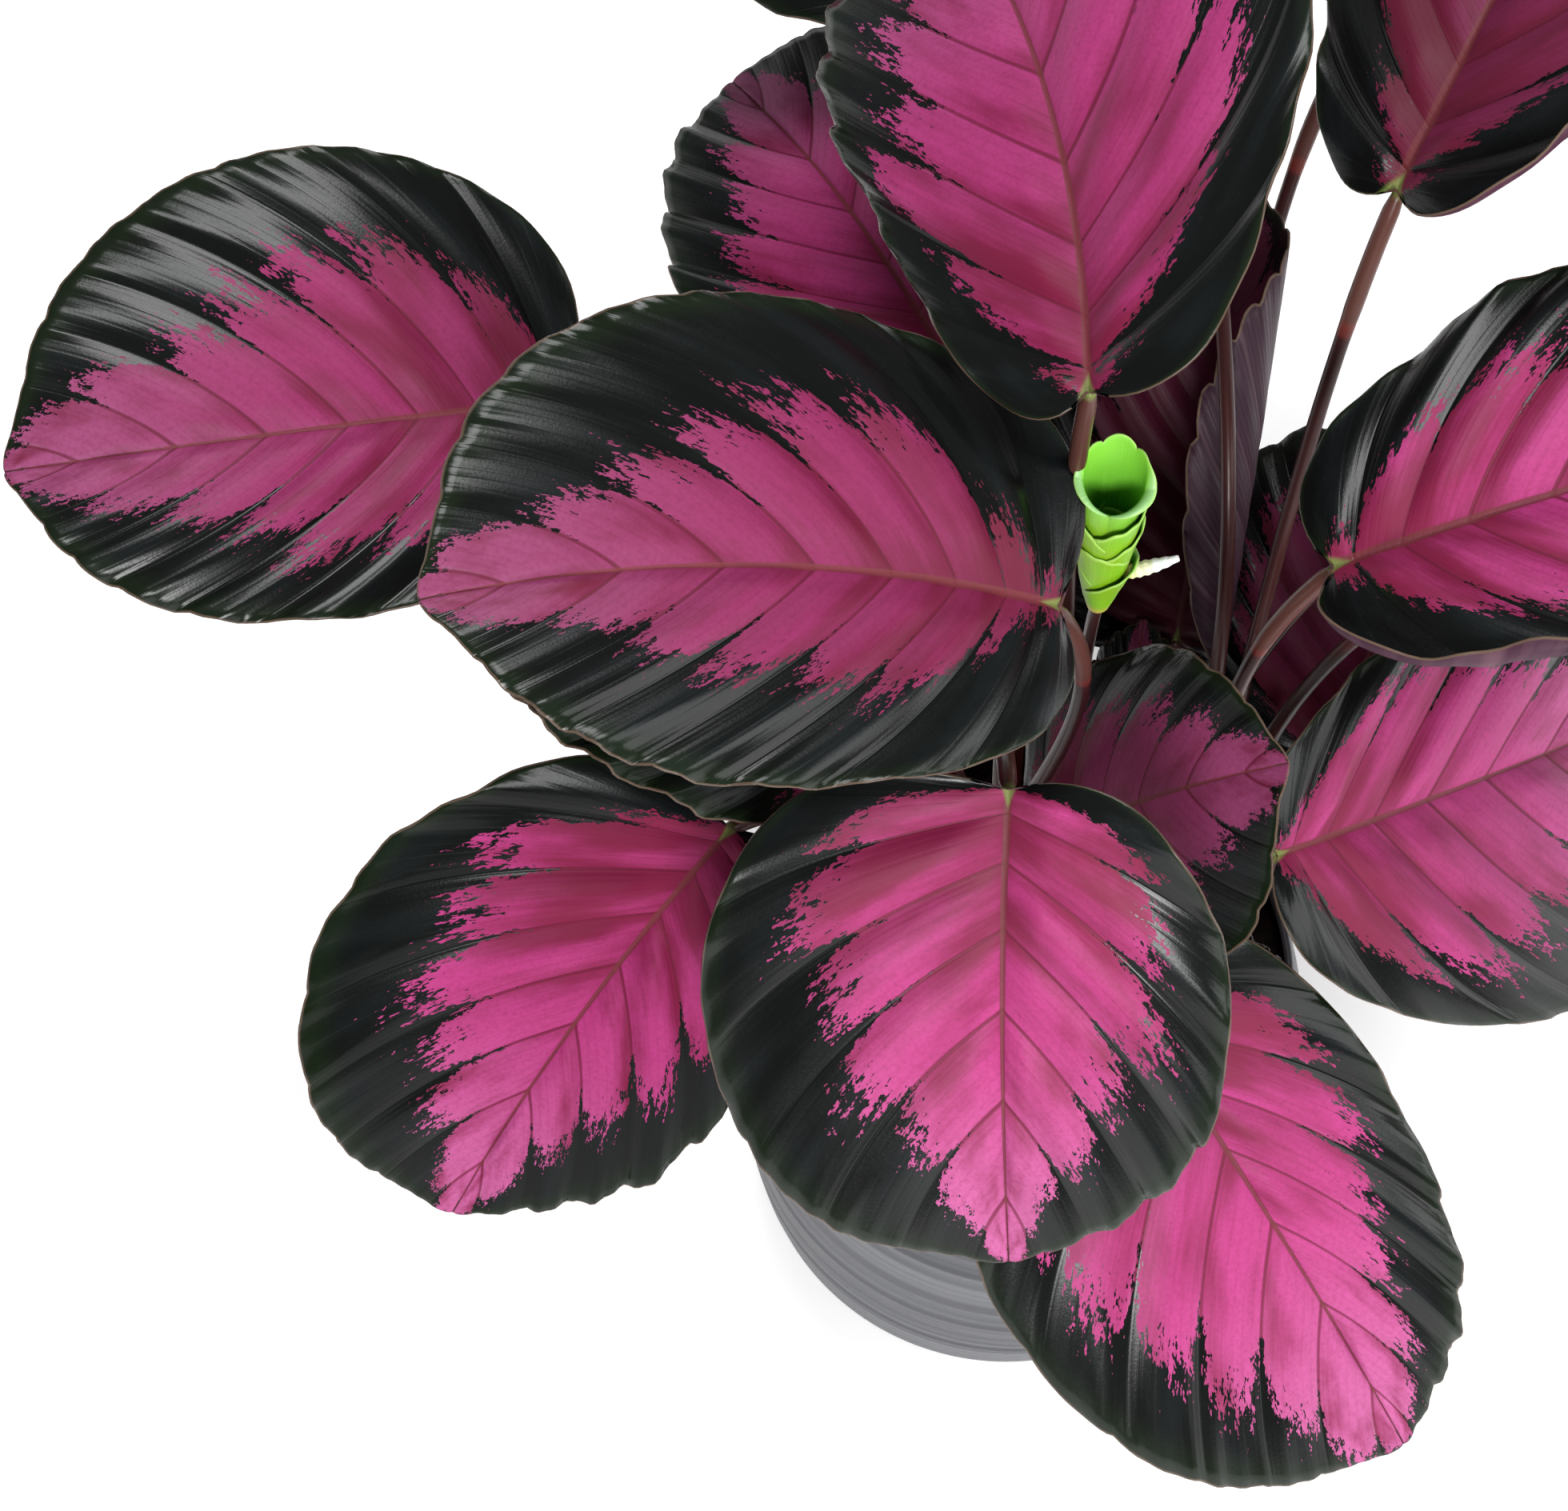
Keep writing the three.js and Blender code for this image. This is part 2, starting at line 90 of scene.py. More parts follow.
# The pot and its soil, in millimetres
DRAIN_COUNT = 8
DRAIN_RADIUS = 5
DRAIN_RING_RADIUS = 48
RING_DEPTH = 0.34
FLOOR_LEVEL = 4
SOIL_CROWN = 2.2
SOIL_DROP = 3.2

# The flower spike, in millimetres
SPIKE_ROOT = (-7, 38)
SPIKE_FOOT = (-10.7, 25.5, 295)
SPIKE_HEIGHT = 57
SPIKE_LEAN = (-3.5, 9)
SPIKE_RADIUS = 9
FLOWER_STALK_RADIUS = 1.7

# The camera: the photograph's width and focal length in pixels, and its place in metres
PIXELS_WIDE = 1960
FOCAL_PIXELS = 8000
FILM_WIDTH = 36
CAMERA_PLACE = (-0.080, 0.097, 1.840)


@dataclasses.dataclass
class Leaf:
    """One leaf. heading, rise, droop, swing and roll say in degrees how it points and bends
    along its midrib, egg is above 0 for a blade widest near its base and lean for one whose
    right half is the wider. spread, start, widening and skew place its crimson, and shade
    darkens it, partly as the blade's own darker colour and partly as painted shade for a
    blade that lies in the others' shadow, going near black as painted shade above 0.6.
    crinkle is how strong its pleats are and under how far painted shade darkens its lower face."""

    root: tuple
    seat: tuple
    heading: float
    rise: float
    droop: float
    swing: float
    roll: float
    size: tuple = (150, 115)
    egg: float = -0.1
    lean: float = 0
    knee: float = STALK_KNEE
    climb: float = STALK_CLIMB
    right: tuple = (SIDE_FOLD, SIDE_CURL)
    left: tuple = (SIDE_FOLD, SIDE_CURL)
    spread: float = 0.66
    start: float = 0.3
    widening: float = 0.9
    skew: float = 0
    shade: float = 0
    laterals: float = 7.5
    scallop: float = 1.1
    right_hem: float = 0
    left_hem: float = 0
    crinkle: float = 1
    rib: float = 1
    under: float = 0
    dull: bool = False


# Twelve grown leaves, from the left round the back to the right and the front, then a young
# leaf that is still half rolled up, three low leaves, and five grown leaves behind the others
LEAVES = [
    Leaf((-26, 34), (-150, 79, 250), 200, 0, 25, -10, 14, (143, 125), 0, 0.18, start=0.4, spread=0.6,
         widening=0.84, shade=0.45, laterals=8.5),
    Leaf((-28, 3), (-22, 3, 335), 198, 15, 25, 15, 9, (157, 123), -0.07, 0.1, start=0.46, spread=0.54,
         widening=0.86, shade=0.58, laterals=8.5, rib=1.2),
    Leaf((-18, 44), (-50, 77, 290), 123, -24, 24, 5, 20, (150, 110), 0, 0.1, spread=0.66,
         shade=0.35, dull=True),
    Leaf((-9, 55), (-25, 34.5, 385), 111, -12, 30, 24, 38, (179, 129), -0.3, 0.18, knee=0.05,
         start=0.4, spread=0.64, skew=-0.1, shade=0.2, scallop=1.6, rib=1.2),
    Leaf((35, 35), (43, 125, 350), 74, 10, 30, 5, 35, (155, 117), -0.3, 0.12, start=0.46, spread=0.58,
         skew=0.2, shade=0.7, right_hem=70, rib=1.7),
    Leaf((37, 26), (43, 32, 325), 23, 13, 28, 4, 10, (158, 119), -0.2, -0.04, start=0.4, spread=0.58,
         shade=0.04, right_hem=115, rib=1.5, under=0.5),
    Leaf((41, 17), (47, -5, 235), 45, -30, 20, 12, -38, (158, 116), -0.3, 0.12, start=0.34, spread=0.6),
    Leaf((4, 4), (-10, -1, 210), -10, 60, 12, 0, -36, (101, 85), -0.12, 0.12, start=0.24, spread=0.62,
         widening=0.85, shade=0.55, laterals=6.5, crinkle=0.35, dull=True),
    Leaf((-30, 12), (-90, -25, 235), 234, -50, 16, 8, 40, (139, 121), 0, 0.2, spread=0.58,
         shade=0.12, dull=True),
    Leaf((-16, -12), (-25, -34, 307), 287, -52, 18, 14, -14, (131, 131), 0.03, 0.14, start=0.2,
         spread=0.59, widening=0.92, skew=-0.06, laterals=6.5),
    Leaf((14, -26), (12.5, -34, 208), 327, -43, 18, 6, -18, (166, 118), 0.07, 0.24, spread=0.66,
         widening=0.82),
    Leaf((-32, 23), (-55, 15, 250), 195, 33, 25, 2, 8, (134, 101), -0.05, 0, shade=0.3, dull=True),
    Leaf((11, 54), (17, 74, 186), 94, 45, 15, 0, 0, (122, 100), right=(20, 165), left=(5, 25),
         shade=0.85, scallop=2.4, laterals=12, under=1),
    Leaf((48, 34), (60, 49, 183), 75, 8, 30, 0, 0, (93, 87), -0.28, -0.18, shade=0.7),
    Leaf((8, 18), (8.5, 31, 171), 92, 31, 15, 0, 0, (48, 27), shade=0.7),
    Leaf((12, -10), (14, -11, 165), 2, 5, 12, 0, 0, (47, 36), -0.1, 0.35, spread=0.4, shade=0.7),
    Leaf((-3, 59), (-60, 196, 300), 140, -10, 25, 0, 10, spread=0.64),
    Leaf((30, 40), (-8, 195, 330), 98, 0, 30, 0, 0, climb=0.8, spread=0.7),
    Leaf((23, 55), (34, 212, 285), 60, -15, 25, 0, -10, climb=0.45, spread=0.66),
    Leaf((28, 51), (118, 132, 295), 35, -5, 25, 0, -10, climb=0.8, spread=0.7),
    Leaf((41, 44), (132, 72, 300), -12, -10, 25, 0, -10, (150, 116), climb=0.9, spread=0.66),
]


def paint(red, green, blue):
    """A colour given as it looks, from 0 to 255, as the linear colour that Blender wants."""
    shares = [channel / 255 for channel in (red, green, blue)]
    return tuple(s / 12.92 if s <= 0.04045 else ((s + 0.055) / 1.055) ** 2.4 for s in shares)


# Sizes and colours that a user may change


def number(name, description, default, **settings):
    """A number that a user may change."""
    return bpy.props.FloatProperty(name=name, description=description, default=default, **settings)


def length(name, description, default):
    """A length that a user may change."""
    return number(name, description, default, unit="LENGTH")


def colour(name, description, red, green, blue):
    """A colour that a user may change."""
    return bpy.props.FloatVectorProperty(
        name=name, description=description, default=paint(red, green, blue), min=0, max=1,
        subtype="COLOR",
    )


class PotProperties(bpy.types.PropertyGroup):
    """The pot and its soil."""

    belly_radius: length("Belly radius", "Outer radius of the pot where it is widest", POT_HIGH.x)
    belly_level: length("Belly level", "Height at which the pot is widest", 62 * MM)
    mouth_radius: length("Mouth radius", "Outer radius of the pot's mouth", 67 * MM)
    foot_radius: length("Foot radius", "Outer radius of the pot's underside", 68 * MM)
    height: length("Height", "Height of the pot", POT_HIGH.z)
    wall: length("Wall", "Thickness of the pot's wall", 2.5 * MM)
    crumbs: bpy.props.IntProperty(name="Crumbs", description="Crumbs lying on the soil", default=1500)
    plastic: colour("Plastic", "Colour of the pot", 90, 91, 95)
    # painted shade: the darker rings stand for the shade of the pot's ribs
    groove: colour("Groove", "Colour of the darker rings round the pot", 52, 53, 60)
    earth: colour("Earth", "Colour of the soil", 46, 33, 25)


class LeafProperties(bpy.types.PropertyGroup):
    """The leaf blades and their stalks."""

    pleat: length("Pleat", "How far a blade swells between two lateral veins", 2.4 * MM)
    ruffle: length("Ruffle", "How far the margin waves up and down", 1.5 * MM)
    midrib_depth: length("Midrib depth", "How far the midrib stands out below a blade", 1.3 * MM)
    stalk_radius: length("Stalk radius", "Radius of a leaf stalk at its middle", 2 * MM)
    sheath_radius: length("Sheath radius", "Radius of a leaf stalk where it leaves the soil", 2.9 * MM)
    crimson: colour("Crimson", "Middle of a blade", 165, 51, 114)
    # pale_crimson: paler towards the tip, partly the blade's own colour and partly a painted soft reflection
    pale_crimson: colour("Pale crimson", "Middle of a blade near its tip", 174, 93, 142)
    # deep_crimson: the blade's own deep colour, and also painted shade in each pleat beside its vein and, in
    # part, towards the base
    deep_crimson: colour("Deep crimson", "Middle of a blade where it is deepest", 112, 20, 56)
    # maroon: the middle of a darker blade, and painted shade on a blade that lies in the others' shadow
    maroon: colour("Maroon", "Middle of an old or a shaded blade", 72, 10, 28)
    margin: colour("Margin", "Broad dark edge of a blade", 8, 10, 9)
    # painted sheen: grey reflection bands painted into the dark edge between the veins
    sheen: colour("Sheen", "Grey bands in the dark edge between the veins", 28, 34, 37)
    rim: colour("Rim", "Thin line round a blade", 92, 74, 62)
    midrib: colour("Midrib", "Midrib on the upper face", 98, 40, 44)
    spot: colour("Spot", "Light spot where the stalk meets the blade", 112, 128, 66)
    underside: colour("Underside", "Lower face of a blade", 80, 50, 66)
    stalk: colour("Stalk", "Leaf stalk", 60, 29, 27)
    stalk_foot: colour("Stalk foot", "Leaf stalk near the soil", 112, 34, 20)
    joint: colour("Joint", "Stretch of the stalk above its ring", 84, 52, 45)


class SpikeProperties(bpy.types.PropertyGroup):
    """The flower spike."""

    bract: colour("Bract", "Outside of the bracts", 120, 164, 20)
    # inside: lightened in part as painted light shining through the thin bract
    inside: colour("Inside", "Inside of the cup", 128, 200, 60)
    lip: colour("Lip", "Out-turned lip of the cup", 136, 186, 116)
    petal: colour("Petal", "Flower bud", 238, 232, 200)


class StageProperties(bpy.types.PropertyGroup):
    """Floor, lights and camera."""

    floor: colour("Floor", "Colour of the floor", 250, 250, 250)
    key_power: number("Key light", "Power in watts", 42)
    front_power: number("Front light", "Power in watts", 78)
    side_power: number("Side light", "Power in watts", 30)
    low_power: number("Low light", "Power in watts", 9)
    ambient: number("Ambient", "Strength of the light from all round", 0.24, min=0, max=1)
    elevation: number(
        "Elevation", "How steeply the camera looks down", math.radians(65), unit="ROTATION"
    )
    camera_roll: number(
        "Camera roll", "Turn of the camera about its line of sight", math.radians(10.5), unit="ROTATION"
    )


class CalatheaProperties(bpy.types.PropertyGroup):
    """All values of the plant."""

    pot: bpy.props.PointerProperty(type=PotProperties)
    leaf: bpy.props.PointerProperty(type=LeafProperties)
    spike: bpy.props.PointerProperty(type=SpikeProperties)
    stage: bpy.props.PointerProperty(type=StageProperties)


# Shader maths written as plain expressions


class Value:
    """A socket that carries a number or a colour; arithmetic on it adds Math nodes."""

    def __init__(self, finish, socket):
        self.finish = finish
        self.socket = socket

    def math(self, operation, *terms):
        settings = {"operation": operation}
        return self.finish.node("ShaderNodeMath", settings, dict(enumerate(terms)))

    def __add__(self, other):
        return self.math("ADD", self, other)

    __radd__ = __add__

    def __sub__(self, other):
        return self.math("SUBTRACT", self, other)

    def __rsub__(self, other):
        return self.math("SUBTRACT", other, self)

    def __mul__(self, other):
        return self.math("MULTIPLY", self, other)

    __rmul__ = __mul__

    def __abs__(self):
        return self.math("ABSOLUTE", self)

    def fraction(self):
        return self.math("FRACT", self)

    def smooth(self, low, high):
        """0 below low and 1 above high, with a soft change between them."""
        settings = {"interpolation_type": "SMOOTHSTEP"}
        return self.finish.node("ShaderNodeMapRange", settings, {0: self, 1: low, 2: high})

    def near_whole(self, width):
        """1 where the value is a whole number, falling to 0 at width from it."""
        return 1 - abs((self + 0.5).fraction() - 0.5).smooth(width * 0.35, width)


class Finish:
    """A material that is built from expressions."""

    def __init__(self, name, **constants):
        self.material = bpy.data.materials.new(name)
        self.material.use_nodes = True
        self.tree = self.material.node_tree
        self.tree.nodes.clear()
        self.surface = self.tree.nodes.new("ShaderNodeBsdfPrincipled")
        output = self.tree.nodes.new("ShaderNodeOutputMaterial")
        self.tree.links.new(self.surface.outputs[0], output.inputs[0])
        for key, value in constants.items():
            self.surface.inputs[key.replace("_", " ")].default_value = value

    def node(self, kind, settings=None, sockets=None, output=0):
        """Adds a node: its settings first, then the value or link of each socket."""
        node = self.tree.nodes.new(kind)
        for key, value in (settings or {}).items():
            setattr(node, key, value)
        for key, value in (sockets or {}).items():
            if isinstance(value, Value):
                self.tree.links.new(value.socket, node.inputs[key])
            else:
                node.inputs[key].default_value = value
        return Value(self, node.outputs[output])

    def mix(self, factor, first, second):
        """A colour between first and second."""
        first, second = (c if isinstance(c, Value) else (*c[:3], 1) for c in (first, second))
        return self.node("ShaderNodeMix", {"data_type": "RGBA"}, {0: factor, 6: first, 7: second}, 2)

    def split(self, vector):
        return [self.node("ShaderNodeSeparateXYZ", sockets={0: vector}, output=i) for i in range(3)]

    def parts(self, name):
        """The three numbers of a vector attribute of the mesh."""
        return self.split(self.node("ShaderNodeAttribute", {"attribute_name": name}, output=1))

    def place(self):
        """The point's own place on the piece, in metres."""
        return self.node("ShaderNodeTexCoord", output=3)

    def noise(self, place, scale=1.0, detail=2.0, roughness=0.5):
        """Noise at a place, which may be three numbers."""
        if isinstance(place, tuple):
            place = self.node("ShaderNodeCombineXYZ", sockets=dict(enumerate(place)))
        sockets = {"Vector": place, "Scale": scale, "Detail": detail, "Roughness": roughness}
        return self.node("ShaderNodeTexNoise", {"noise_dimensions": "3D"}, sockets)

    def close(self, face, height, strength, distance, roughness=None):
        """Links the colour, the relief and the roughness to the shader and gives the material."""
        sockets = {"Height": height, "Strength": strength, "Distance": distance}
        links = {"Base Color": face, "Normal": self.node("ShaderNodeBump", sockets=sockets)}
        if roughness is not None:
            links["Roughness"] = roughness
        for name, value in links.items():
            self.tree.links.new(value.socket, self.surface.inputs[name])
        return self.material


# Mesh helpers


def add_object(name, points, faces):
    """Puts a mesh object in the scene, from points in millimetres."""
    mesh = bpy.data.meshes.new(name)
    mesh.from_pydata((np.asarray(points) * MM).tolist(), [], faces)
    made = bpy.data.objects.new(name, mesh)
    bpy.context.scene.collection.objects.link(made)
    return made


def add_piece(name, points, faces, finishes, nodes, slot, attributes=None, finish_of_face=None):
    """Makes a smooth piece from points in millimetres, in place of CAD nodes."""
    piece = add_object(name, points, faces)
    mesh = piece.data
    for finish in finishes:
        mesh.materials.append(finish)
    mesh.polygons.foreach_set("use_smooth", [True] * len(mesh.polygons))
    if finish_of_face is not None:
        mesh.polygons.foreach_set("material_index", finish_of_face)
    for key, values in (attributes or {}).items():
        data = mesh.attributes.new(key, "FLOAT_VECTOR", "POINT").data
        data.foreach_set("vector", np.asarray(values, np.float32).ravel())
    mesh.update()
    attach(piece, BODY)
    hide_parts(*nodes)
    return piece


def smoothstep(values, low, high):
    shares = np.clip((values - low) / (high - low), 0, 1)
    return shares * shares * (3 - 2 * shares)


def once_round(sides):
    """Angles once round, evenly spaced."""
    return np.linspace(0, 2 * math.pi, sides, endpoint=False)


def grid_faces(rows, columns, closed=False, first=0):
    """Quads between rows of points; a closed grid joins its last column to its first."""
    faces = []
    wrap = columns if closed else columns - 1
    for row in range(rows - 1):
        for column in range(wrap):
            a = first + row * columns + column
            b = first + row * columns + (column + 1) % columns
            faces.append((a, b, b + columns, a + columns))
    return faces


def point_normals(points, faces):
    """Unit normals of a sheet's points, from the diagonals of the faces round them."""
    normals = np.zeros_like(points)
    corners = np.array([(face[0], face[1], face[2], face[-1]) for face in faces])
    across = points[corners[:, 2]] - points[corners[:, 0]]
    down = points[corners[:, 3]] - points[corners[:, 1]]
    face_normals = np.cross(across, down)
    for column in range(4):
        np.add.at(normals, corners[:, column], face_normals)
    return normals / np.maximum(np.linalg.norm(normals, axis=1, keepdims=True), 1e-12)


def rim_edges(faces):
    """The sheet's border as directed edges."""
    found = {}
    for face in faces:
        for a, b in zip(face, face[1:] + face[:1]):
            if found.pop((b, a), None) is None:
                found[(a, b)] = True
    return list(found)


def joined(bodies):
    """Several bodies, each of points and faces, as one."""
    points, faces, count = [], [], 0
    for body_points, body_faces in bodies:
        points.append(body_points)
        faces += [tuple(corner + count for corner in face) for face in body_faces]
        count += len(body_points)
    return np.vstack(points), faces


def thicken(points, faces, notes, upper_offset, lower_offset, round_rim=0.3):
    """A closed shell round a sheet, with a rounded rim. Gives points, faces, the sheet's notes
    at each point, and face groups, 0 from the upper face to the rim's middle and 1 below it."""
    normals = point_normals(points, faces)
    upper = points + normals * np.reshape(upper_offset, (-1, 1))
    lower = points - normals * np.reshape(lower_offset, (-1, 1))
    count = len(points)
    edges = rim_edges(faces)
    shell = faces + [tuple(corner + count for corner in reversed(face)) for face in faces]
    groups = [0] * len(faces) + [1] * len(faces)
    outward = np.zeros_like(points)
    for a, b in edges:
        across = np.cross(points[b] - points[a], normals[a] + normals[b])
        across /= max(np.linalg.norm(across), 1e-12)
        outward[a] += across
        outward[b] += across
    border = sorted({corner for edge in edges for corner in edge})
    place = {corner: 2 * count + i for i, corner in enumerate(border)}
    sizes = np.maximum(np.linalg.norm(outward[border], axis=1, keepdims=True), 1e-12)
    middle = (upper[border] + lower[border]) / 2 + outward[border] / sizes * round_rim
    for a, b in edges:
        shell.append((b, a, place[a], place[b]))
        shell.append((place[b], place[a], a + count, b + count))
        groups += [0, 1]
    source = [*range(count), *range(count), *border]
    shell_notes = {key: rows[source] for key, rows in notes.items()}
    return np.vstack([upper, lower, middle]), shell, shell_notes, groups


def bezier(p0, p1, p2, p3, shares):
    s = shares[:, None]
    return (1 - s) ** 3 * p0 + 3 * (1 - s) ** 2 * s * p1 + 3 * (1 - s) * s ** 2 * p2 + s ** 3 * p3


def distance_along(path):
    return np.concatenate([[0], np.cumsum(np.linalg.norm(np.diff(path, axis=0), axis=1))])


def tube(path, radii, sides):
    """A closed round tube along a path, with each point's share of the length, angle and reach."""
    along = np.gradient(path, axis=0)
    along /= np.linalg.norm(along, axis=1, keepdims=True)
    side = np.array([1.0, 0, 0])
    points = []
    angles = once_round(sides)
    for centre, direction, radius in zip(path, along, radii):
        side = side - direction * side.dot(direction)
        side /= np.linalg.norm(side)
        other = np.cross(direction, side)
        ring = np.cos(angles)[:, None] * side + np.sin(angles)[:, None] * other
        points.append(centre + ring * radius)
    faces = grid_faces(len(path), sides, closed=True)
    last = (len(path) - 1) * sides
    faces.append(tuple(reversed(range(sides))))
    faces.append(tuple(last + k for k in range(sides)))
    reach = np.repeat(distance_along(path), sides)
    notes = np.stack([reach / reach[-1], np.tile(angles, len(path)), reach], -1)
    return np.vstack(points), faces, notes


# Leaf blades


def margin_point(leaf, q, side):
    """The flat outline at q from 0 at the base to 1 at the tip, on either side."""
    long, wide = leaf.size
    turn = math.pi * q
    half = wide / 2 * (1 + side * leaf.lean)
    x = half * np.sin(turn) * (1 + leaf.egg * np.cos(turn))
    lobe = BASE_LOBE * np.sin(turn) * (1 + np.cos(turn)) ** 2 / 4
    tip = TIP_LENGTH * np.exp(-(((math.pi - turn) / TIP_SPREAD) ** 2))
    return side * x, long * ((1 - np.cos(turn)) / 2 - lobe + tip)


def vein_point(leaf, q, side, t):
    """The flat place at share t of the vein that ends at q on the outline."""
    start = leaf.size[0] * q ** VEIN_START_POWER
    edge_x, edge_y = margin_point(leaf, q, side)
    bend_x = VEIN_BEND[0] * edge_x
    bend_y = start + VEIN_BEND[1] * (edge_y - start)
    x = 2 * t * (1 - t) * bend_x + t * t * edge_x
    y = (1 - t) ** 2 * start + 2 * t * (1 - t) * bend_y + t * t * edge_y
    return x, y


def leaf_axes(leaf, along):
    """Directions along the midrib, to its right and out of the upper face."""
    heading = np.radians(leaf.heading + leaf.swing * (along - 0.5))
    pitch = np.radians(leaf.rise - leaf.droop * (along - 0.5))
    roll = math.radians(leaf.roll)
    flat, climb = np.cos(pitch), np.sin(pitch)
    east, north = np.cos(heading), np.sin(heading)
    tangent = np.stack([flat * east, flat * north, climb], -1)
    up = np.stack([-climb * east, -climb * north, flat], -1)
    right = np.cross(tangent, up)
    sideways = right * math.cos(roll) + up * math.sin(roll)
    normal = up * math.cos(roll) - right * math.sin(roll)
    return tangent, sideways, normal


def midrib_point(leaf, along):
    point = np.zeros((len(along), 3)) + np.array(leaf.seat, float)
    for i in range(MIDRIB_STEPS):
        tangent = leaf_axes(leaf, along * (i + 0.5) / MIDRIB_STEPS)[0]
        point = point + tangent * (leaf.size[0] * along / MIDRIB_STEPS)[:, None]
    return point


def blade_points(leaf, q, side, t, pleat, ruffle):
    """Places in space of points of a blade, with their flat places and vein numbers."""
    long, wide = leaf.size
    # The sheet swells between two lateral veins, by an amount of its own for each stretch
    veins = leaf.laterals * q ** VEIN_CROWDING
    vigour = 1 + 0.35 * np.sin(2.4 * np.floor(veins) + leaf.heading + side)
    swell = np.abs(np.sin(math.pi * veins)) ** 0.85 * vigour
    notch = (1 - np.abs(np.sin(math.pi * (veins + 0.15))) ** 0.6) * t ** 6
    x, y = vein_point(leaf, q, side, t * (1 - leaf.scallop * notch / (wide / 2)))
    along = np.maximum(y / long, 0)
    tangent, sideways, normal = leaf_axes(leaf, along)
    point = midrib_point(leaf, along) + tangent * np.minimum(y, 0)[:, None]
    halves = np.where(side > 0, np.transpose([leaf.right]), np.transpose([leaf.left]))
    fold, curl = np.radians(halves)
    edge_angle = fold + curl * np.abs(x) / (wide / 2)
    radius = wide / 2 / curl
    outward = (np.sin(edge_angle) - np.sin(fold)) * radius
    lift = (np.cos(fold) - np.cos(edge_angle)) * radius
    # The margin waves in long waves, then the pleats and the ruffles add to them
    phase = WAVES_PER_EDGE * q + WAVE_SHIFT * leaf.heading * side
    window = np.sin(math.pi * q)
    lift = lift + MARGIN_WAVE * t * t * np.sin(2 * math.pi * phase) * window
    lift = lift + pleat * swell * np.minimum(t / 0.14, 1) * (1 - 0.35 * t * t) * window ** 0.5
    lift = lift + ruffle * t ** 4 * np.sin(2 * math.pi * veins + 2 * side) * window
    lift = lift + ruffle / 2 * t ** 8 * np.sin(2 * math.pi * (2.7 * veins + leaf.heading)) * window
    # A hem bends down about a wavering crease
    hem = np.radians(np.where(side > 0, leaf.right_hem, leaf.left_hem)) * (1 + 0.2 * np.sin(7 * veins))
    crease = HEM_START + 0.025 * np.sin(4.4 * veins + leaf.heading)
    turned = np.clip((t - crease) / (1 - crease), 0, 1) * np.clip(3 * window, 0, 1) * hem + 1e-9
    strip = np.clip(t - crease, 0, 1) * np.abs(x)
    outward = outward + strip * (np.sin(turned) / turned - 1)
    lift = lift + strip * (1 - np.cos(turned)) / turned
    point = point + sideways * (side * outward)[:, None] + normal * lift[:, None]
    return point, x, y, veins


def crimson_field(leaf, q, side, t, veins, draw):
    """Above 0 where a blade is crimson: a tongue along each lateral vein, notched at the vein."""
    opening = smoothstep(q, leaf.start - 0.1, leaf.start + 0.16)
    border = 0.1 + (leaf.spread - 0.1) * opening
    border = border + (1.0 - leaf.spread) * smoothstep(q, leaf.widening, 1.0)
    swell = np.abs(np.sin(math.pi * veins))
    wander = draw.uniform(-0.08, 0.06, (2, 14))
    border = border + wander[(side > 0).astype(int), np.floor(veins).astype(int)] * swell
    border = border - 0.28 * (1 - swell) ** 5 + 0.02 * swell
    return border * (1 + leaf.skew * side) - t


def blade_sheet(leaf, seed, pleat, ruffle):
    """The blade's middle sheet: points, faces and the attributes that its finish reads."""
    rows = 1 - (1 - np.linspace(0, 1, BLADE_ROWS + 2)[1:-1] ** 0.75) ** 1.3
    columns = np.arange(-BLADE_COLUMNS, BLADE_COLUMNS + 1)
    across = np.abs(columns / BLADE_COLUMNS) ** 1.3
    q = np.concatenate([[0], np.repeat(rows, len(columns)), [1]])
    t = np.concatenate([[0], np.tile(across, len(rows)), [1]])
    side = np.concatenate([[1], np.tile(np.where(columns < 0, -1, 1), len(rows)), [1]]).astype(float)
    points, x, y, veins = blade_points(leaf, q, side, t, pleat, ruffle)
    width = len(columns)
    faces = grid_faces(len(rows), width, first=1)
    last = 1 + (len(rows) - 1) * width
    tip = last + width
    for k in range(width - 1):
        faces.append((0, 2 + k, 1 + k)[::-1])
        faces.append((last + k, last + k + 1, tip)[::-1])
    draw = np.random.default_rng(seed)
    crimson = crimson_field(leaf, q, side, t, veins, draw)
    notes = {
        "vein_place": np.stack([veins, t, seed * 3.1 + side], -1),
        "blade_place": np.stack([np.abs(x) / leaf.rib, y, crimson], -1),
        "blade_traits": np.stack([q * 0 + leaf.shade, y / leaf.size[0], q * 0 + leaf.under], -1),
    }
    return points, faces, notes, x, y


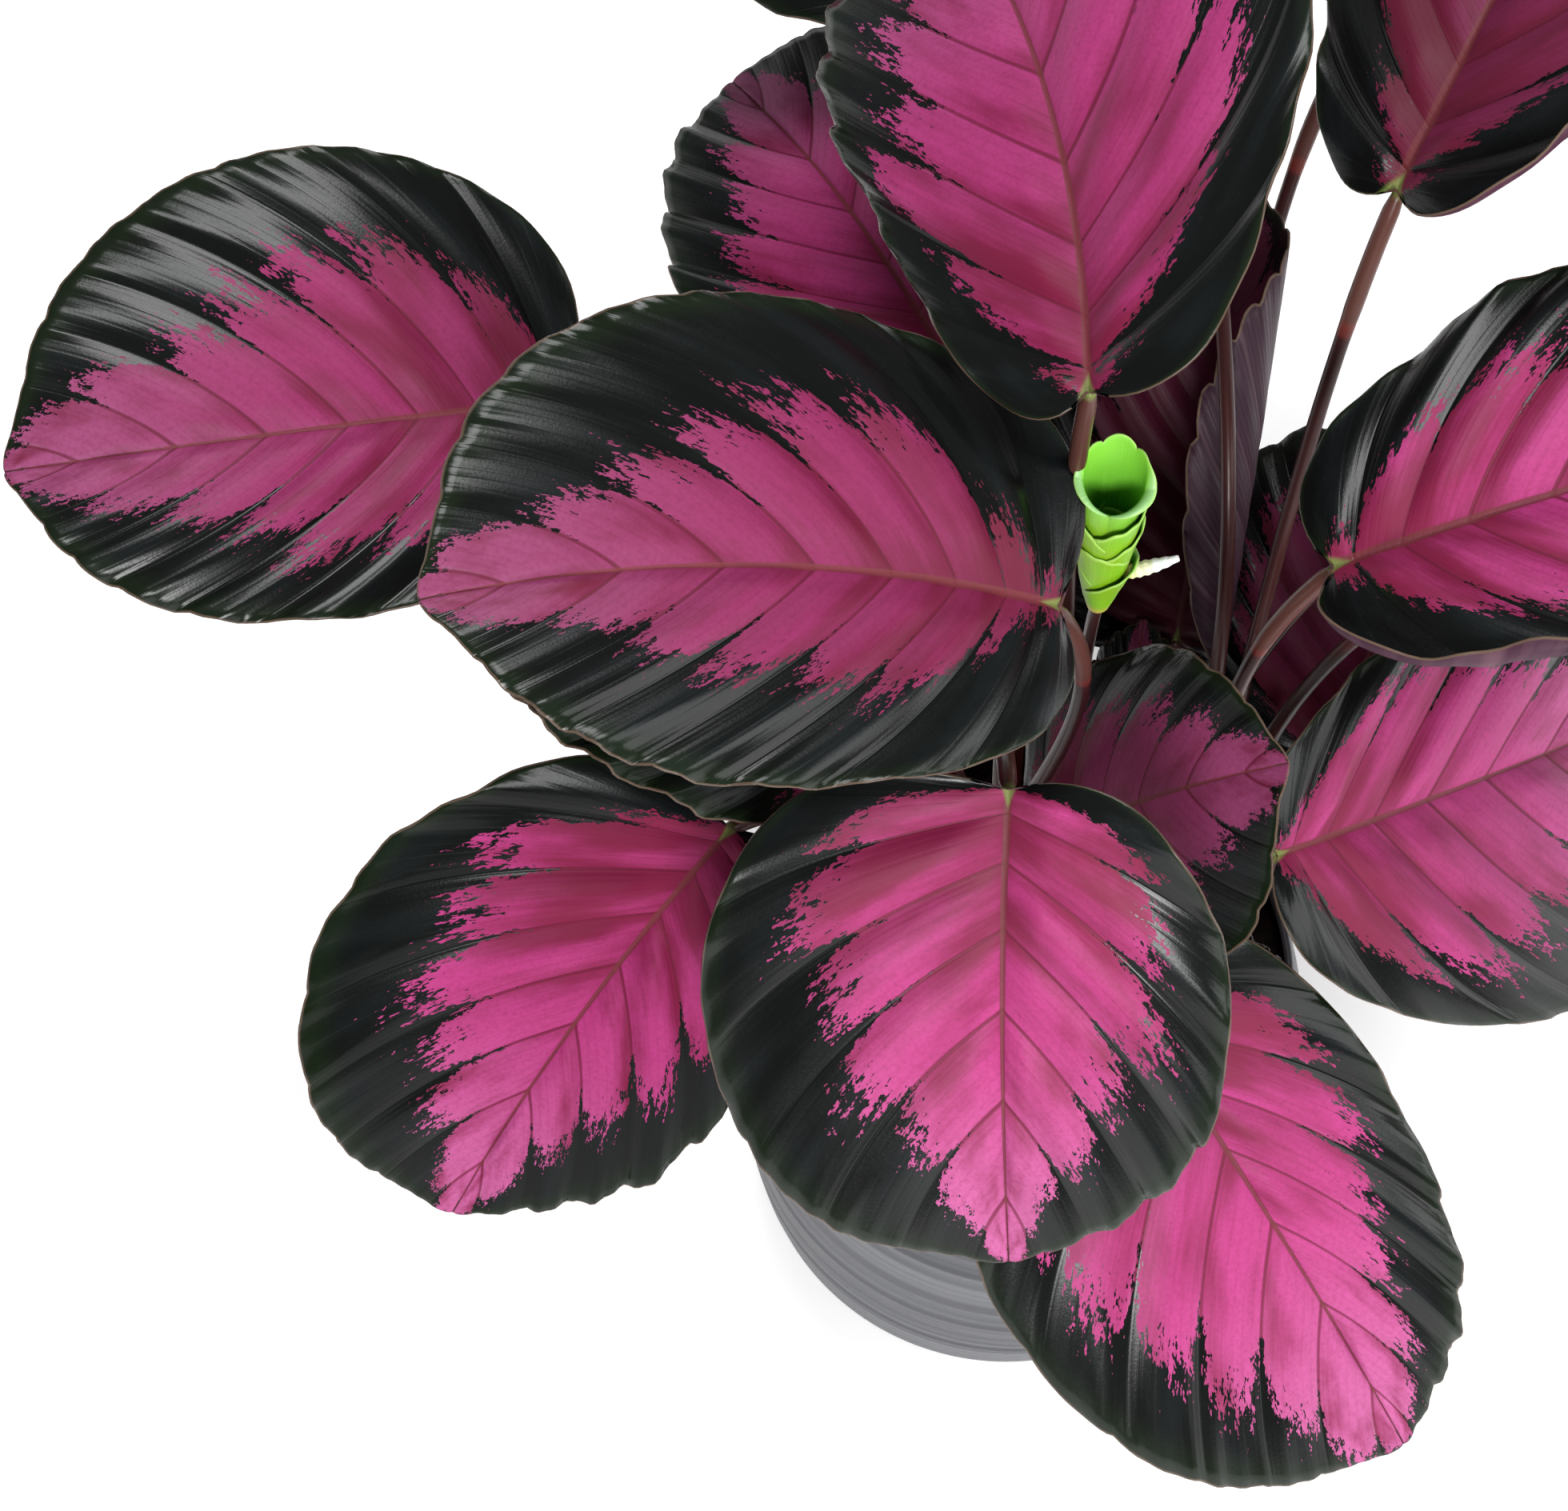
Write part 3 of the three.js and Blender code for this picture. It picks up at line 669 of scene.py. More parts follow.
def upper_finish(colours, name, specular):
    """Crimson tongues in a black-green edge, with veins, a midrib and a pale rim, and with painted shade in
    the pleats and on shaded blades, painted sheen in the dark edge and painted highlights beside the veins.
    """
    finish = Finish(name, Specular_IOR_Level=specular)
    veins, t, seed = finish.parts("vein_place")
    x, y, crimson = finish.parts("blade_place")
    shade, along, _ = finish.parts("blade_traits")
    dabs = finish.noise((veins * 12, t * 14, seed), detail=3, roughness=0.6)
    fleck = finish.noise((veins * 36, t * 54, seed + 3), detail=2)
    patch = finish.noise((veins * 2.5, t * 3, seed + 7), detail=1)
    field = crimson + (dabs - 0.5) * 0.62 + (fleck - 0.5) * 0.34 + (patch - 0.5) * 0.22
    mask = field.smooth(-0.01, 0.01)
    tone = finish.noise((veins * 1.6, t * 2.2, seed + 11), detail=3)
    streak = finish.noise((veins * 30, t * 4, seed + 5), detail=2)
    line = veins.near_whole(0.045)
    threads = (veins * 6).near_whole(0.2)
    swell = abs((veins + 0.5).fraction() - 0.5) * 2
    # painted shade: each pleat is darker just beyond its lateral vein, as if the pleat shaded itself
    painted_pleat_shade = 1 - (veins + 0.02).fraction().smooth(0.0, 0.55)
    # deeper towards the base partly by the blade's own colour and partly as painted shade; tone and streak
    # are its own mottling
    depth = (1 - along.smooth(0.0, 0.65)) * 0.65 + (tone - 0.45) * 2.2 + (streak - 0.5) * 0.35 + painted_pleat_shade * 0.3
    # paler towards the tip partly by the blade's own colour and partly as a painted soft reflection
    middle = finish.mix(along.smooth(0.45, 1.0) * 0.7, colours.crimson, colours.pale_crimson)
    middle = finish.mix(depth.smooth(0.0, 1.0), middle, colours.deep_crimson)
    middle = finish.mix(threads * 0.1, middle, colours.deep_crimson)
    cells = finish.noise(finish.place(), scale=900, detail=2)
    middle = finish.mix((cells - 0.42) * 0.9, middle, colours.deep_crimson)
    middle = finish.mix(line * (0.8 - 0.3 * t), middle, paint(96, 14, 44))
    # painted highlight: a pale silvery line beside each lateral vein, growing towards the margin
    painted_vein_highlight = (veins + 0.05).near_whole(0.03) * t.smooth(0.3, 0.8)
    middle = finish.mix(painted_vein_highlight * 0.3, middle, paint(150, 112, 128))
    # shade darkens the crimson towards maroon, partly as the blade's own darker colour and partly as painted
    # shade
    middle = finish.mix(shade, middle, colours.maroon)
    # painted sheen: the clouds and the pleats' crests pick where grey reflection bands are painted in the
    # dark edge; the clouds also vary the roughness
    clouds = finish.noise((veins * 1.8, t * 2.5, seed + 17), detail=3)
    painted_sheen_mask = (swell * 0.35 + clouds).smooth(0.55, 1.0)
    edge = finish.mix(painted_sheen_mask * 0.3, colours.margin, colours.sheen)
    edge = finish.mix(line * 0.4, edge, paint(6, 9, 8))
    edge = finish.mix(t.smooth(0.86, 0.98) * 0.4, edge, paint(24, 38, 16))
    face = finish.mix(mask, edge, middle)
    rib = 1 - (x - 0.85 * (1.15 - along)).smooth(0, 0.3)
    face = finish.mix(rib * 0.85, face, colours.midrib)
    spot = 1 - (x + y * 0.35).smooth(1.0, 2.2)
    face = finish.mix(spot * 0.8, face, colours.spot)
    face = finish.mix(t.smooth(0.993, 0.999) * 0.7, face, colours.rim)
    # painted shade: a blade whose shade is above 0.6 goes near black, as if deep in the plant's shadow
    face = finish.mix(shade.smooth(0.6, 1.1), face, paint(12, 7, 9))
    grain = finish.noise(finish.place(), scale=1400, detail=2)
    relief = grain * 0.2 + threads * -0.2 + line * -0.5 + streak * 0.12
    roughness = 0.16 + 0.3 * mask + clouds * 0.18 + (grain - 0.5) * 0.1
    return finish.close(face, relief, 0.3, 0.0004, roughness)


def under_finish(colours):
    """Mauve lower face with its paler midrib and veins, darkened by painted shade as far as the leaf's under
    trait says.
    """
    finish = Finish("blade_under", Specular_IOR_Level=0.2)
    veins, t, seed = finish.parts("vein_place")
    x = finish.parts("blade_place")[0]
    _, along, under = finish.parts("blade_traits")
    tone = finish.noise((veins * 2.5, t * 2.5, seed), detail=3)
    line = veins.near_whole(0.08)
    threads = (veins * 6).near_whole(0.25)
    face = finish.mix(tone.smooth(0.3, 0.7), colours.underside, paint(62, 34, 50))
    face = finish.mix(line * 0.4 + threads * 0.12, face, paint(120, 86, 96))
    rib = 1 - (x - 1.5 * (1.1 - along)).smooth(0, 0.6)
    face = finish.mix(rib * 0.8, face, colours.joint)
    # painted shade: under darkens a leaf's lower face
    face = finish.mix(under * 0.55, face, paint(22, 14, 22))
    face = finish.mix(t.smooth(0.99, 0.998), face, colours.rim)
    grain = finish.noise(finish.place(), scale=1200, detail=2)
    relief = grain * 0.3 + threads * 0.4 + line * 0.6
    return finish.close(face, relief, 0.35, 0.0004, 0.5 + (grain - 0.5) * 0.15)


class CALATHEA_OT_blades(bpy.types.Operator):
    """Makes every leaf blade, with its pleats, veins and crimson middle"""

    bl_idname = "calathea.blades"
    bl_label = "Leaf blades"

    def execute(self, context):
        values = context.scene.calathea.leaf
        glossy = upper_finish(values, "blade_upper", 0.22)
        dull = upper_finish(values, "blade_upper_dull", 0.09)
        under = under_finish(values)
        for number, leaf in enumerate(LEAVES, 1):
            small = min(leaf.size[0] / FULL_SIZE, 1)
            fold = small * leaf.crinkle / MM
            sheet = blade_sheet(leaf, number, values.pleat * fold, values.ruffle * fold)
            points, faces, notes, x, y = sheet
            along = np.clip(y / leaf.size[0], 0, 1)
            groove = MIDRIB_GROOVE * np.exp(-((x / 0.9) ** 2)) * small
            ridge = values.midrib_depth / MM * small * np.exp(-((x / 1.1) ** 2)) * (1 - along) ** 0.6
            upper = BLADE_THICKNESS / 2 - groove
            lower = BLADE_THICKNESS / 2 + ridge
            shell, shell_faces, notes, groups = thicken(points, faces, notes, upper, lower)
            name = f"leaf_{number:02d}_blade"
            finishes = [dull if leaf.dull else glossy, under]
            add_piece(f"{name}_veined", shell, shell_faces, finishes, [name], "blade", notes, groups)
        return {"FINISHED"}


# Leaf stalks


def rooted_path(root, climb, second, end, steps):
    """From inside the soil straight up, then in one bend to an end."""
    start = np.array([*root, STALK_START], float)
    bend = bezier(start, start + [0, 0, climb], second, end, np.linspace(0, 1, steps))
    return np.vstack([[*root, ROOT_LEVEL + 2], bend])


def stalk_path(leaf):
    """A leaf stalk's path, which meets the blade's underside."""
    tangent, _, normal = (axis[0] for axis in leaf_axes(leaf, np.zeros(1)))
    seat = np.array(leaf.seat, float)
    span = np.linalg.norm(seat - [*leaf.root, STALK_START])
    arrival = tangent * leaf.knee + np.array([0, 0, 1 - leaf.knee])
    arrival /= np.linalg.norm(arrival)
    end = seat - normal * 0.9 + tangent * 1.5
    return rooted_path(leaf.root, span * leaf.climb, end - arrival * span * 0.3, end, STALK_STEPS)


def stalk_finish(colours):
    """Brown-mauve stalk, orange-red at its foot, with a ring below its paler last stretch."""
    finish = Finish("leaf_stalk", Specular_IOR_Level=0.22)
    along, angle, reach = finish.parts("stalk_place")
    ring, _, seed = finish.parts("stalk_traits")
    streak = finish.noise((angle * 2, reach * 0.02, seed), detail=2)
    face = finish.mix(streak.smooth(0.3, 0.7) * 0.6, colours.stalk, paint(42, 22, 24))
    face = finish.mix((1 - along.smooth(0.02, 0.42)) * 0.8, face, colours.stalk_foot)
    above = (along - ring).smooth(0, 0.012)
    face = finish.mix(above * 0.75, face, colours.joint)
    band = 1 - abs(along - ring).smooth(0.004, 0.012)
    face = finish.mix(band * 0.3, face, paint(150, 60, 50))
    face = finish.mix(along.smooth(0.985, 1.0), face, colours.spot)
    relief = finish.noise((angle * 6, reach * 0.4, seed), detail=2)
    return finish.close(face, relief, 0.15, 0.0002, 0.3 + (streak - 0.5) * 0.08)


class CALATHEA_OT_stalks(bpy.types.Operator):
    """Makes every leaf stalk, from its sheath to the joint under the blade"""

    bl_idname = "calathea.stalks"
    bl_label = "Leaf stalks"

    def execute(self, context):
        values = context.scene.calathea.leaf
        finish = stalk_finish(values)
        for number, leaf in enumerate(LEAVES, 1):
            path = stalk_path(leaf)
            reach = distance_along(path)
            along = reach / reach[-1]
            slim, wide = values.stalk_radius / MM, values.sheath_radius / MM
            ring = 1 - min(0.3, JOINT_REACH / reach[-1])
            radii = slim + (wide - slim) * (1 - smoothstep(along, 0.05, 0.45))
            radii = radii + 0.35 * smoothstep(along, ring - 0.005, ring + 0.03)
            radii = radii + 0.2 * np.exp(-(((along - ring) / 0.006) ** 2))
            radii = radii * (1 - 0.4 * smoothstep(along, 0.97, 1))
            points, faces, notes = tube(path, radii, STALK_SIDES)
            traits = np.tile([ring, 0, number * 2.3], (len(points), 1))
            name = f"leaf_{number:02d}_stalk"
            marks = {"stalk_place": notes, "stalk_traits": traits}
            add_piece(f"{name}_jointed", points, faces, [finish], [name], "stalk", marks)
        return {"FINISHED"}


# Pot and soil


def lathe(profile, sides):
    """A closed body turned about the pot's axis from a profile of (radius, height)."""
    angles = once_round(sides)
    inner = [row for row in profile if row[0] > 0]
    rings = [[(r * math.cos(a), r * math.sin(a), z) for a in angles] for r, z in inner]
    points = np.array(rings).reshape(-1, 3)
    faces = grid_faces(len(inner), sides, closed=True)
    low, high = len(points), len(points) + 1
    points = np.vstack([points, [0, 0, profile[0][1]], [0, 0, profile[-1][1]]])
    last = (len(inner) - 1) * sides
    for k in range(sides):
        faces.append((low, (k + 1) % sides, k))
        faces.append((high, last + k, last + (k + 1) % sides))
    return points, faces


def pot_finish(colours):
    """Satin grey with soft, uneven, darker rings round it, painted shade that stands for the shade of its
    ribs.
    """
    finish = Finish("pot_plastic")
    place = finish.place()
    x, y, z = finish.split(place)
    broad = finish.noise((x * 1.5, y * 1.5, z * 95), detail=2, roughness=0.6)
    narrow = finish.noise((x * 2, y * 2, z * 330), detail=2)
    fine = finish.noise((x * 2, y * 2, z * 1100), detail=2)
    # painted shade: soft darker rings that stand for the shade of the pot's ribs
    rings = broad.smooth(0.42, 0.6) * 0.9 + (narrow - 0.5) * 0.8 + (fine - 0.5) * 0.2
    face = finish.mix(rings, colours.plastic, colours.groove)
    grain = finish.noise(place, scale=900, detail=2)
    return finish.close(face, fine * 0.4 + grain * 0.3, 0.3, 0.0003, 0.42 + (grain - 0.5) * 0.15)


def pot_radius(values, height):
    """The pot's outer radius at a height: widest at the belly, less at the foot and the mouth."""
    below = height < values.belly_level / MM
    end = values.foot_radius if below else values.mouth_radius
    reach = values.belly_level if below else values.height - values.belly_level
    share = (height * MM - values.belly_level) / reach
    return (values.belly_radius - (values.belly_radius - end) * share ** 2) / MM


def pot_profile(values):
    """The wall's outline from the middle of the underside round the mouth to the inner floor."""
    mouth, foot = values.mouth_radius / MM, values.foot_radius / MM
    height, wall = values.height / MM, values.wall / MM
    profile = [(0, 1.2), (foot - 12, 1.2), (foot - 11, 0.2), (foot - 9, 0), (foot - 1.5, 0)]
    profile.append((foot - 0.4, 0.4))
    for z in np.arange(1.5, height - 2, 0.9):
        ring = RING_DEPTH * math.sin(0.62 * z + 1.4 * math.sin(0.23 * z)) + 0.1 * math.sin(1.9 * z)
        profile.append((pot_radius(values, z) - 0.4 + ring, z))
    profile += [(mouth, height - 1.6), (mouth - 0.2, height - 0.6), (mouth - 0.9, height)]
    profile += [(mouth - wall + 0.7, height), (mouth - wall, height - 0.7)]
    profile += [(pot_radius(values, z) - wall, z) for z in np.arange(height - 6, 5, -6)]
    corner = pot_radius(values, FLOOR_LEVEL) - wall - 1.5
    return profile + [(corner, FLOOR_LEVEL), (0, FLOOR_LEVEL)]


class CALATHEA_OT_pot(bpy.types.Operator):
    """Makes the pot with its soft rings, its mouth and its drain holes"""

    bl_idname = "calathea.pot"
    bl_label = "Pot"

    def execute(self, context):
        values = context.scene.calathea.pot
        points, faces = lathe(pot_profile(values), 160)
        pot = add_piece("pot_ringed", points, faces, [pot_finish(values)], ["pot"], "pot")
        hole = [(0, -3), (DRAIN_RADIUS, -3), (DRAIN_RADIUS, 6), (0, 6)]
        body, body_faces = lathe(hole, 32)
        drills = []
        for k in range(DRAIN_COUNT):
            angle = 2 * math.pi * (k + 0.5) / DRAIN_COUNT
            centre = [DRAIN_RING_RADIUS * math.cos(angle), DRAIN_RING_RADIUS * math.sin(angle), 0]
            drills.append((body + centre, body_faces))
        drill = add_object("drill", *joined(drills))
        cut = pot.modifiers.new("drain_holes", "BOOLEAN")
        cut.operation = "DIFFERENCE"
        cut.solver = "MANIFOLD"
        cut.object = drill
        drilled = bpy.data.meshes.new_from_object(pot.evaluated_get(context.evaluated_depsgraph_get()))
        pot.modifiers.clear()
        pot.data = drilled
        bpy.data.objects.remove(drill)
        return {"FINISHED"}


def soil_finish(colours):
    """Dark bark and peat crumbs, some of them paler."""
    finish = Finish("potting_soil", Roughness=0.95)
    place = finish.place()
    tone = finish.noise(place, scale=260, detail=3)
    face = finish.mix(tone.smooth(0.35, 0.7), colours.earth, paint(24, 17, 13))
    pale = finish.noise(place, scale=90, detail=1).smooth(0.62, 0.7)
    face = finish.mix(pale * 0.35, face, paint(96, 72, 50))
    return finish.close(face, finish.noise(place, scale=700, detail=4), 0.6, 0.001)


class CALATHEA_OT_soil(bpy.types.Operator):
    """Fills the pot with a crumbly bed of soil"""

    bl_idname = "calathea.soil"
    bl_label = "Soil"

    def execute(self, context):
        values = context.scene.calathea.pot
        draw = np.random.default_rng(5)
        level = SOIL_HIGH.z / MM - SOIL_DROP
        floor = SOIL_LOW.z / MM
        clearance = values.wall / MM + 0.6
        edge = pot_radius(values, level) - clearance
        profile = [(0, floor), (pot_radius(values, floor) - clearance - 2, floor)]
        profile += [(pot_radius(values, z) - clearance, z) for z in np.arange(floor + 6, level - 5, 8)]
        profile += [(edge - 0.3, level - 4), (edge, level - 1.5)]
        profile += [
            (r, level + SOIL_CROWN * (1 - (r / edge) ** 2)) for r in np.linspace(edge - 1, 1.5, 34)
        ]
        profile.append((0, level + SOIL_CROWN))
        points, faces = lathe(profile, 144)
        radius = np.hypot(points[:, 0], points[:, 1])
        top = (points[:, 2] > level - 2) & (radius < edge - 0.5)
        waves = np.sin(points[:, 0] * 0.31 + 1) * np.sin(points[:, 1] * 0.27) * 0.7
        points[:, 2] += np.where(top, waves + draw.uniform(-0.7, 0.5, len(points)), 0)
        corners = np.repeat(np.eye(3), 2, axis=0) * np.tile([1, -1], 3)[:, None]
        sides = [(4, 0, 2), (4, 2, 1), (4, 1, 3), (4, 3, 0), (5, 2, 0), (5, 1, 2), (5, 3, 1), (5, 0, 3)]
        bodies = [(points, faces)]
        for _ in range(values.crumbs):
            angle = draw.uniform(0, 2 * math.pi)
            r = (edge - 3) * math.sqrt(draw.uniform(0, 1))
            size = draw.uniform(0.7, 2.1)
            grit = corners * draw.uniform(0.5, 1.1, (6, 1)) * [size, size * draw.uniform(0.5, 1), size * 0.7]
            turn = Matrix.Rotation(angle * 5, 3, "Z") @ Matrix.Rotation(draw.uniform(-0.6, 0.6), 3, "X")
            height = level + SOIL_CROWN * (1 - (r / edge) ** 2) + size * 0.2
            centre = np.array([r * math.cos(angle), r * math.sin(angle), height])
            bodies.append((grit @ np.array(turn).T + centre, sides))
        body, all_faces = joined(bodies)
        body[:, 2] = np.minimum(body[:, 2], SOIL_HIGH.z / MM + 1.5)
        piece = add_piece("soil_crumbs", body, all_faces, [soil_finish(values)], ["soil"], "soil")
        piece.data.polygons.foreach_set("use_smooth", [False] * len(piece.data.polygons))
        return {"FINISHED"}


# Flower spike


def round_spike(angle, height, radius):
    """A place at a radius from the spike's leaning axis."""
    rise = height / SPIKE_HEIGHT
    x = radius * np.cos(angle) + SPIKE_LEAN[0] * rise
    y = radius * np.sin(angle) + SPIKE_LEAN[1] * rise
    return np.stack([x, y, height], -1) + np.array(SPIKE_FOOT)


def spike_point(angle, height, out):
    """A place on the cup's outside at an angle and a height, moved out from its surface."""
    shares = [0, 0.1, 0.24, 0.4, 0.55, 0.72, 0.93, 1.2]
    radii = [0.19, 0.36, 0.54, 0.64, 0.72, 0.8, 0.9, 0.94]
    radius = SPIKE_RADIUS * np.interp(height / SPIKE_HEIGHT, shares, radii) + out
    return round_spike(angle, height, radius)


def spike_notes(share, angle, height, lip):
    """What the bracts' finish reads at each point, for a grid of points."""
    grids = np.broadcast_arrays(share, angle * 4, height / SPIKE_HEIGHT, lip)
    share, turn, rise, lip = (grid.ravel() for grid in grids)
    return {"bract_place": np.stack([share, turn, rise], -1), "bract_traits": np.stack([lip] * 3, -1)}


def cup_sheet(rows=36, columns=96):
    """The top bract: rounded lobes at the back and an out-turned lip that makes a V in front."""
    angle = once_round(columns)[None, :]
    off_back = np.abs((angle - math.pi / 2 + math.pi) % (2 * math.pi) - math.pi)
    back = off_back < math.pi / 2
    lobes = np.abs(np.cos(3 * off_back)) ** 0.6
    fold = np.where(back, 55.5 - 4.5 * (off_back * 2 / math.pi) ** 2 - 2.4 * (1 - lobes),
                    48.6 - 6.0 * (off_back * 2 / math.pi - 1))
    front = smoothstep(off_back, 1.0, 1.9)
    share = np.linspace(0, 1, rows)[:, None]
    low, bend = 22.0, 0.74
    lip = np.clip((share - bend) / (1 - bend), 0, 1)
    turn = math.radians(18) + math.radians(125) * front
    reach = 1.8 + 1.6 * front * np.abs(np.cos(angle)) + 1.0 * front * np.clip(np.cos(angle), 0, 1)
    radius = reach / turn
    height = low + (fold - low) * np.clip(share / bend, 0, 1) + radius * np.sin(turn * lip)
    pinch = 4.2 * np.clip(off_back * 2 / math.pi - 1, 0, 1) * share ** 2
    out = radius * (1 - np.cos(turn * lip)) - 0.1 - pinch
    points = spike_point(angle + 0 * share, height, out).reshape(-1, 3)
    notes = spike_notes(share, angle, height, front * lip)
    return points, grid_faces(rows, columns, closed=True), notes


def bract_sheet(centre, span, low, side, tip, layer, flare, ragged, rows=20, columns=56):
    """A bract that wraps part of the spike, highest at its middle, with a torn edge."""
    across = np.linspace(-1, 1, columns)[None, :]
    angle = centre + across * span / 2
    share = np.linspace(0, 1, rows)[:, None]
    top = side + (tip - side) * (1 - np.abs(across) ** 1.6)
    top = top + ragged * np.sin(across * 17 + centre) * np.cos(across * 7) * (1 - across ** 2)
    height = low + (top - low) * share
    out = layer + flare * share ** 3 * (1 - across ** 2) - 0.7 * across ** 6
    points = spike_point(angle + 0 * share, height, out).reshape(-1, 3)
    notes = spike_notes(share, angle, height, 0.0)
    return points, grid_faces(rows, columns), notes


def core_sheet(rows=16, columns=48):
    """The folded young bract deep in the cup, which closes it."""
    angle = once_round(columns)[None, :]
    share = np.linspace(0, 1, rows)[:, None]
    height = 25 + 6 * share ** 2 + 0 * angle
    points = round_spike(angle, height, 0.2 + 6.0 * share).reshape(-1, 3)
    return points, grid_faces(rows, columns, closed=True), spike_notes(share, angle, height, 0.0)


def bract_finish(colours, inner):
    """Yellow-green outside, or a deeper veined green inside with a pale lip. Inside, the darker green low in
    the cup is painted shade, and the lighter green higher up is partly painted light shining through the
    bract.
    """
    name = "bract_inside" if inner else "bract_outside"
    finish = Finish(name, Subsurface_Weight=0.15, Subsurface_Radius=(0.003, 0.005, 0.001))
    rise, veins, height = finish.parts("bract_place")
    lip = finish.parts("bract_traits")[0]
    place = finish.place()
    threads = finish.noise((veins * 3, rise * 1.2, 3), detail=3)
    tone = finish.noise(place, scale=140, detail=2)
    if inner:
        # painted shade: darker green low in the cup; the lighter green higher up is partly painted light
        # through the bract
        face = finish.mix(height.smooth(0.5, 0.95), paint(58, 128, 14), colours.inside)
        face = finish.mix((threads - 0.35) * 1.2, face, paint(120, 190, 60))
        face = finish.mix(lip.smooth(0.05, 0.5) * 0.9, face, colours.lip)
    else:
        face = finish.mix(tone.smooth(0.35, 0.65) * 0.6, colours.bract, paint(112, 176, 12))
        face = finish.mix((threads - 0.45) * 0.6, face, paint(172, 214, 60))
        face = finish.mix(1 - height.smooth(0.0, 0.1), face, paint(196, 176, 84))
        face = finish.mix(height.smooth(0.6, 0.8) * 0.75, face, paint(116, 176, 66))
    face = finish.mix(rise.smooth(0.93, 1.0) * 0.5, face, paint(176, 214, 110))
    return finish.close(face, threads + tone * 0.3, 0.3, 0.0004, 0.42 + (tone - 0.5) * 0.15)


def petal_finish(colours):
    """Cream bud that turns a crinkled white at its tip."""
    finish = Finish("flower_petal", Subsurface_Weight=0.1)
    along, angle, reach = finish.parts("stalk_place")
    crinkle = finish.noise((angle * 2, reach * 2.5, 1), detail=3)
    face = finish.mix(along.smooth(0.0, 0.4), paint(196, 204, 96), colours.petal)
    face = finish.mix(along.smooth(0.5, 0.62), face, paint(252, 252, 252))
    return finish.close(face, crinkle, 0.6, 0.0006, 0.45 + (crinkle - 0.5) * 0.2)


class CALATHEA_OT_spike(bpy.types.Operator):
    """Makes the flower spike: stalk, overlapping bracts and the small bud"""

    bl_idname = "calathea.spike"
    bl_label = "Flower spike"

    def execute(self, context):
        scene = context.scene.calathea
        end = np.array(SPIKE_FOOT) + [0, 0, 1]
        path = rooted_path(SPIKE_ROOT, 110, end - [0, 0, 30], end, 48)
        points, faces, notes = tube(path, np.full(len(path), FLOWER_STALK_RADIUS), STALK_SIDES)
        traits = np.tile([2, 0, 91], (len(points), 1))
        marks = {"stalk_place": notes * [0.8, 1, 1], "stalk_traits": traits}
        finish = bpy.data.materials["leaf_stalk"]
        add_piece("flower_stalk_round", points, faces, [finish], ["flower_stalk"], "stalk", marks)

        sheets = [
            cup_sheet(),
            core_sheet(),
            bract_sheet(-0.3, 4.6, 14, 32, 43, 0.2, 1.0, 0.9),
            bract_sheet(3.4, 3.8, 12, 28, 40, 0.3, 0.6, 0.5),
            bract_sheet(0.05, 4.2, 9, 24, 36, 0.5, 1.3, 0.9),
            bract_sheet(-1.9, 4.4, 6, 19, 30, 0.6, 0.6, 0.4),
            bract_sheet(-0.2, 4.6, 1, 9, 22, 0.8, 2.0, 0.5),
            bract_sheet(3.0, 4.2, 0.4, 12, 21, 0.5, 0.4, 0.3),
        ]
        shells = [thicken(*sheet, 0.25, 0.25, 0.15) for sheet in sheets]
        bracts = joined([shell[:2] for shell in shells])
        marks = {key: np.vstack([shell[2][key] for shell in shells]) for key in shells[0][2]}
        groups = [group for shell in shells for group in shell[3]]
        finishes = [bract_finish(scene.spike, False), bract_finish(scene.spike, True)]
        name = "flower_bracts"
        add_piece(f"{name}_wrapped", *bracts, finishes, [name], "bract", marks, groups)

        root = spike_point(np.array(-0.2), np.array(16.5), np.array(0.2))
        bends = (root, root + [3, 0.6, 1.5], root + [7, 1.4, 3.8], root + [12.5, 3.2, 7])
        bend = bezier(*bends, np.linspace(0, 1, 34))
        shares = np.linspace(0, 1, 34)
        radii = 1.9 * np.sin(math.pi * (0.25 + 0.67 * shares)) ** 0.7
        radii = radii * (1 + 0.08 * np.sin(shares * 40))
        points, faces, notes = tube(bend, radii, 20)
        finish = petal_finish(scene.spike)
        add_piece("flower_bud_petals", points, faces, [finish], ["flower_bud"], "bud", {"stalk_place": notes})
        return {"FINISHED"}


# Floor, lights and camera


def add_light(name, place, target, size, power):
    light = bpy.data.lights.new(name, "AREA")
    light.shape = "DISK"
    light.size = size
    light.energy = power
    lamp = bpy.data.objects.new(name, light)
    lamp.location = place
    lamp.rotation_euler = (Vector(target) - Vector(place)).to_track_quat("-Z", "Y").to_euler()
    bpy.context.scene.collection.objects.link(lamp)


def add_camera(values):
    """A long lens that looks steeply down from the front, turned a little about its own line."""
    lens = bpy.data.cameras.new("camera")
    lens.sensor_width = FILM_WIDTH
    lens.lens = FILM_WIDTH * FOCAL_PIXELS / PIXELS_WIDE
    lens.clip_start = 0.05
    lens.clip_end = 50
    camera = bpy.data.objects.new("camera", lens)
    tilt = Matrix.Rotation(math.pi / 2 - values.elevation, 4, "X")
    roll = Matrix.Rotation(values.camera_roll, 4, "Z")
    camera.matrix_world = tilt @ Matrix.Translation(CAMERA_PLACE) @ roll
    bpy.context.scene.collection.objects.link(camera)
    bpy.context.scene.camera = camera


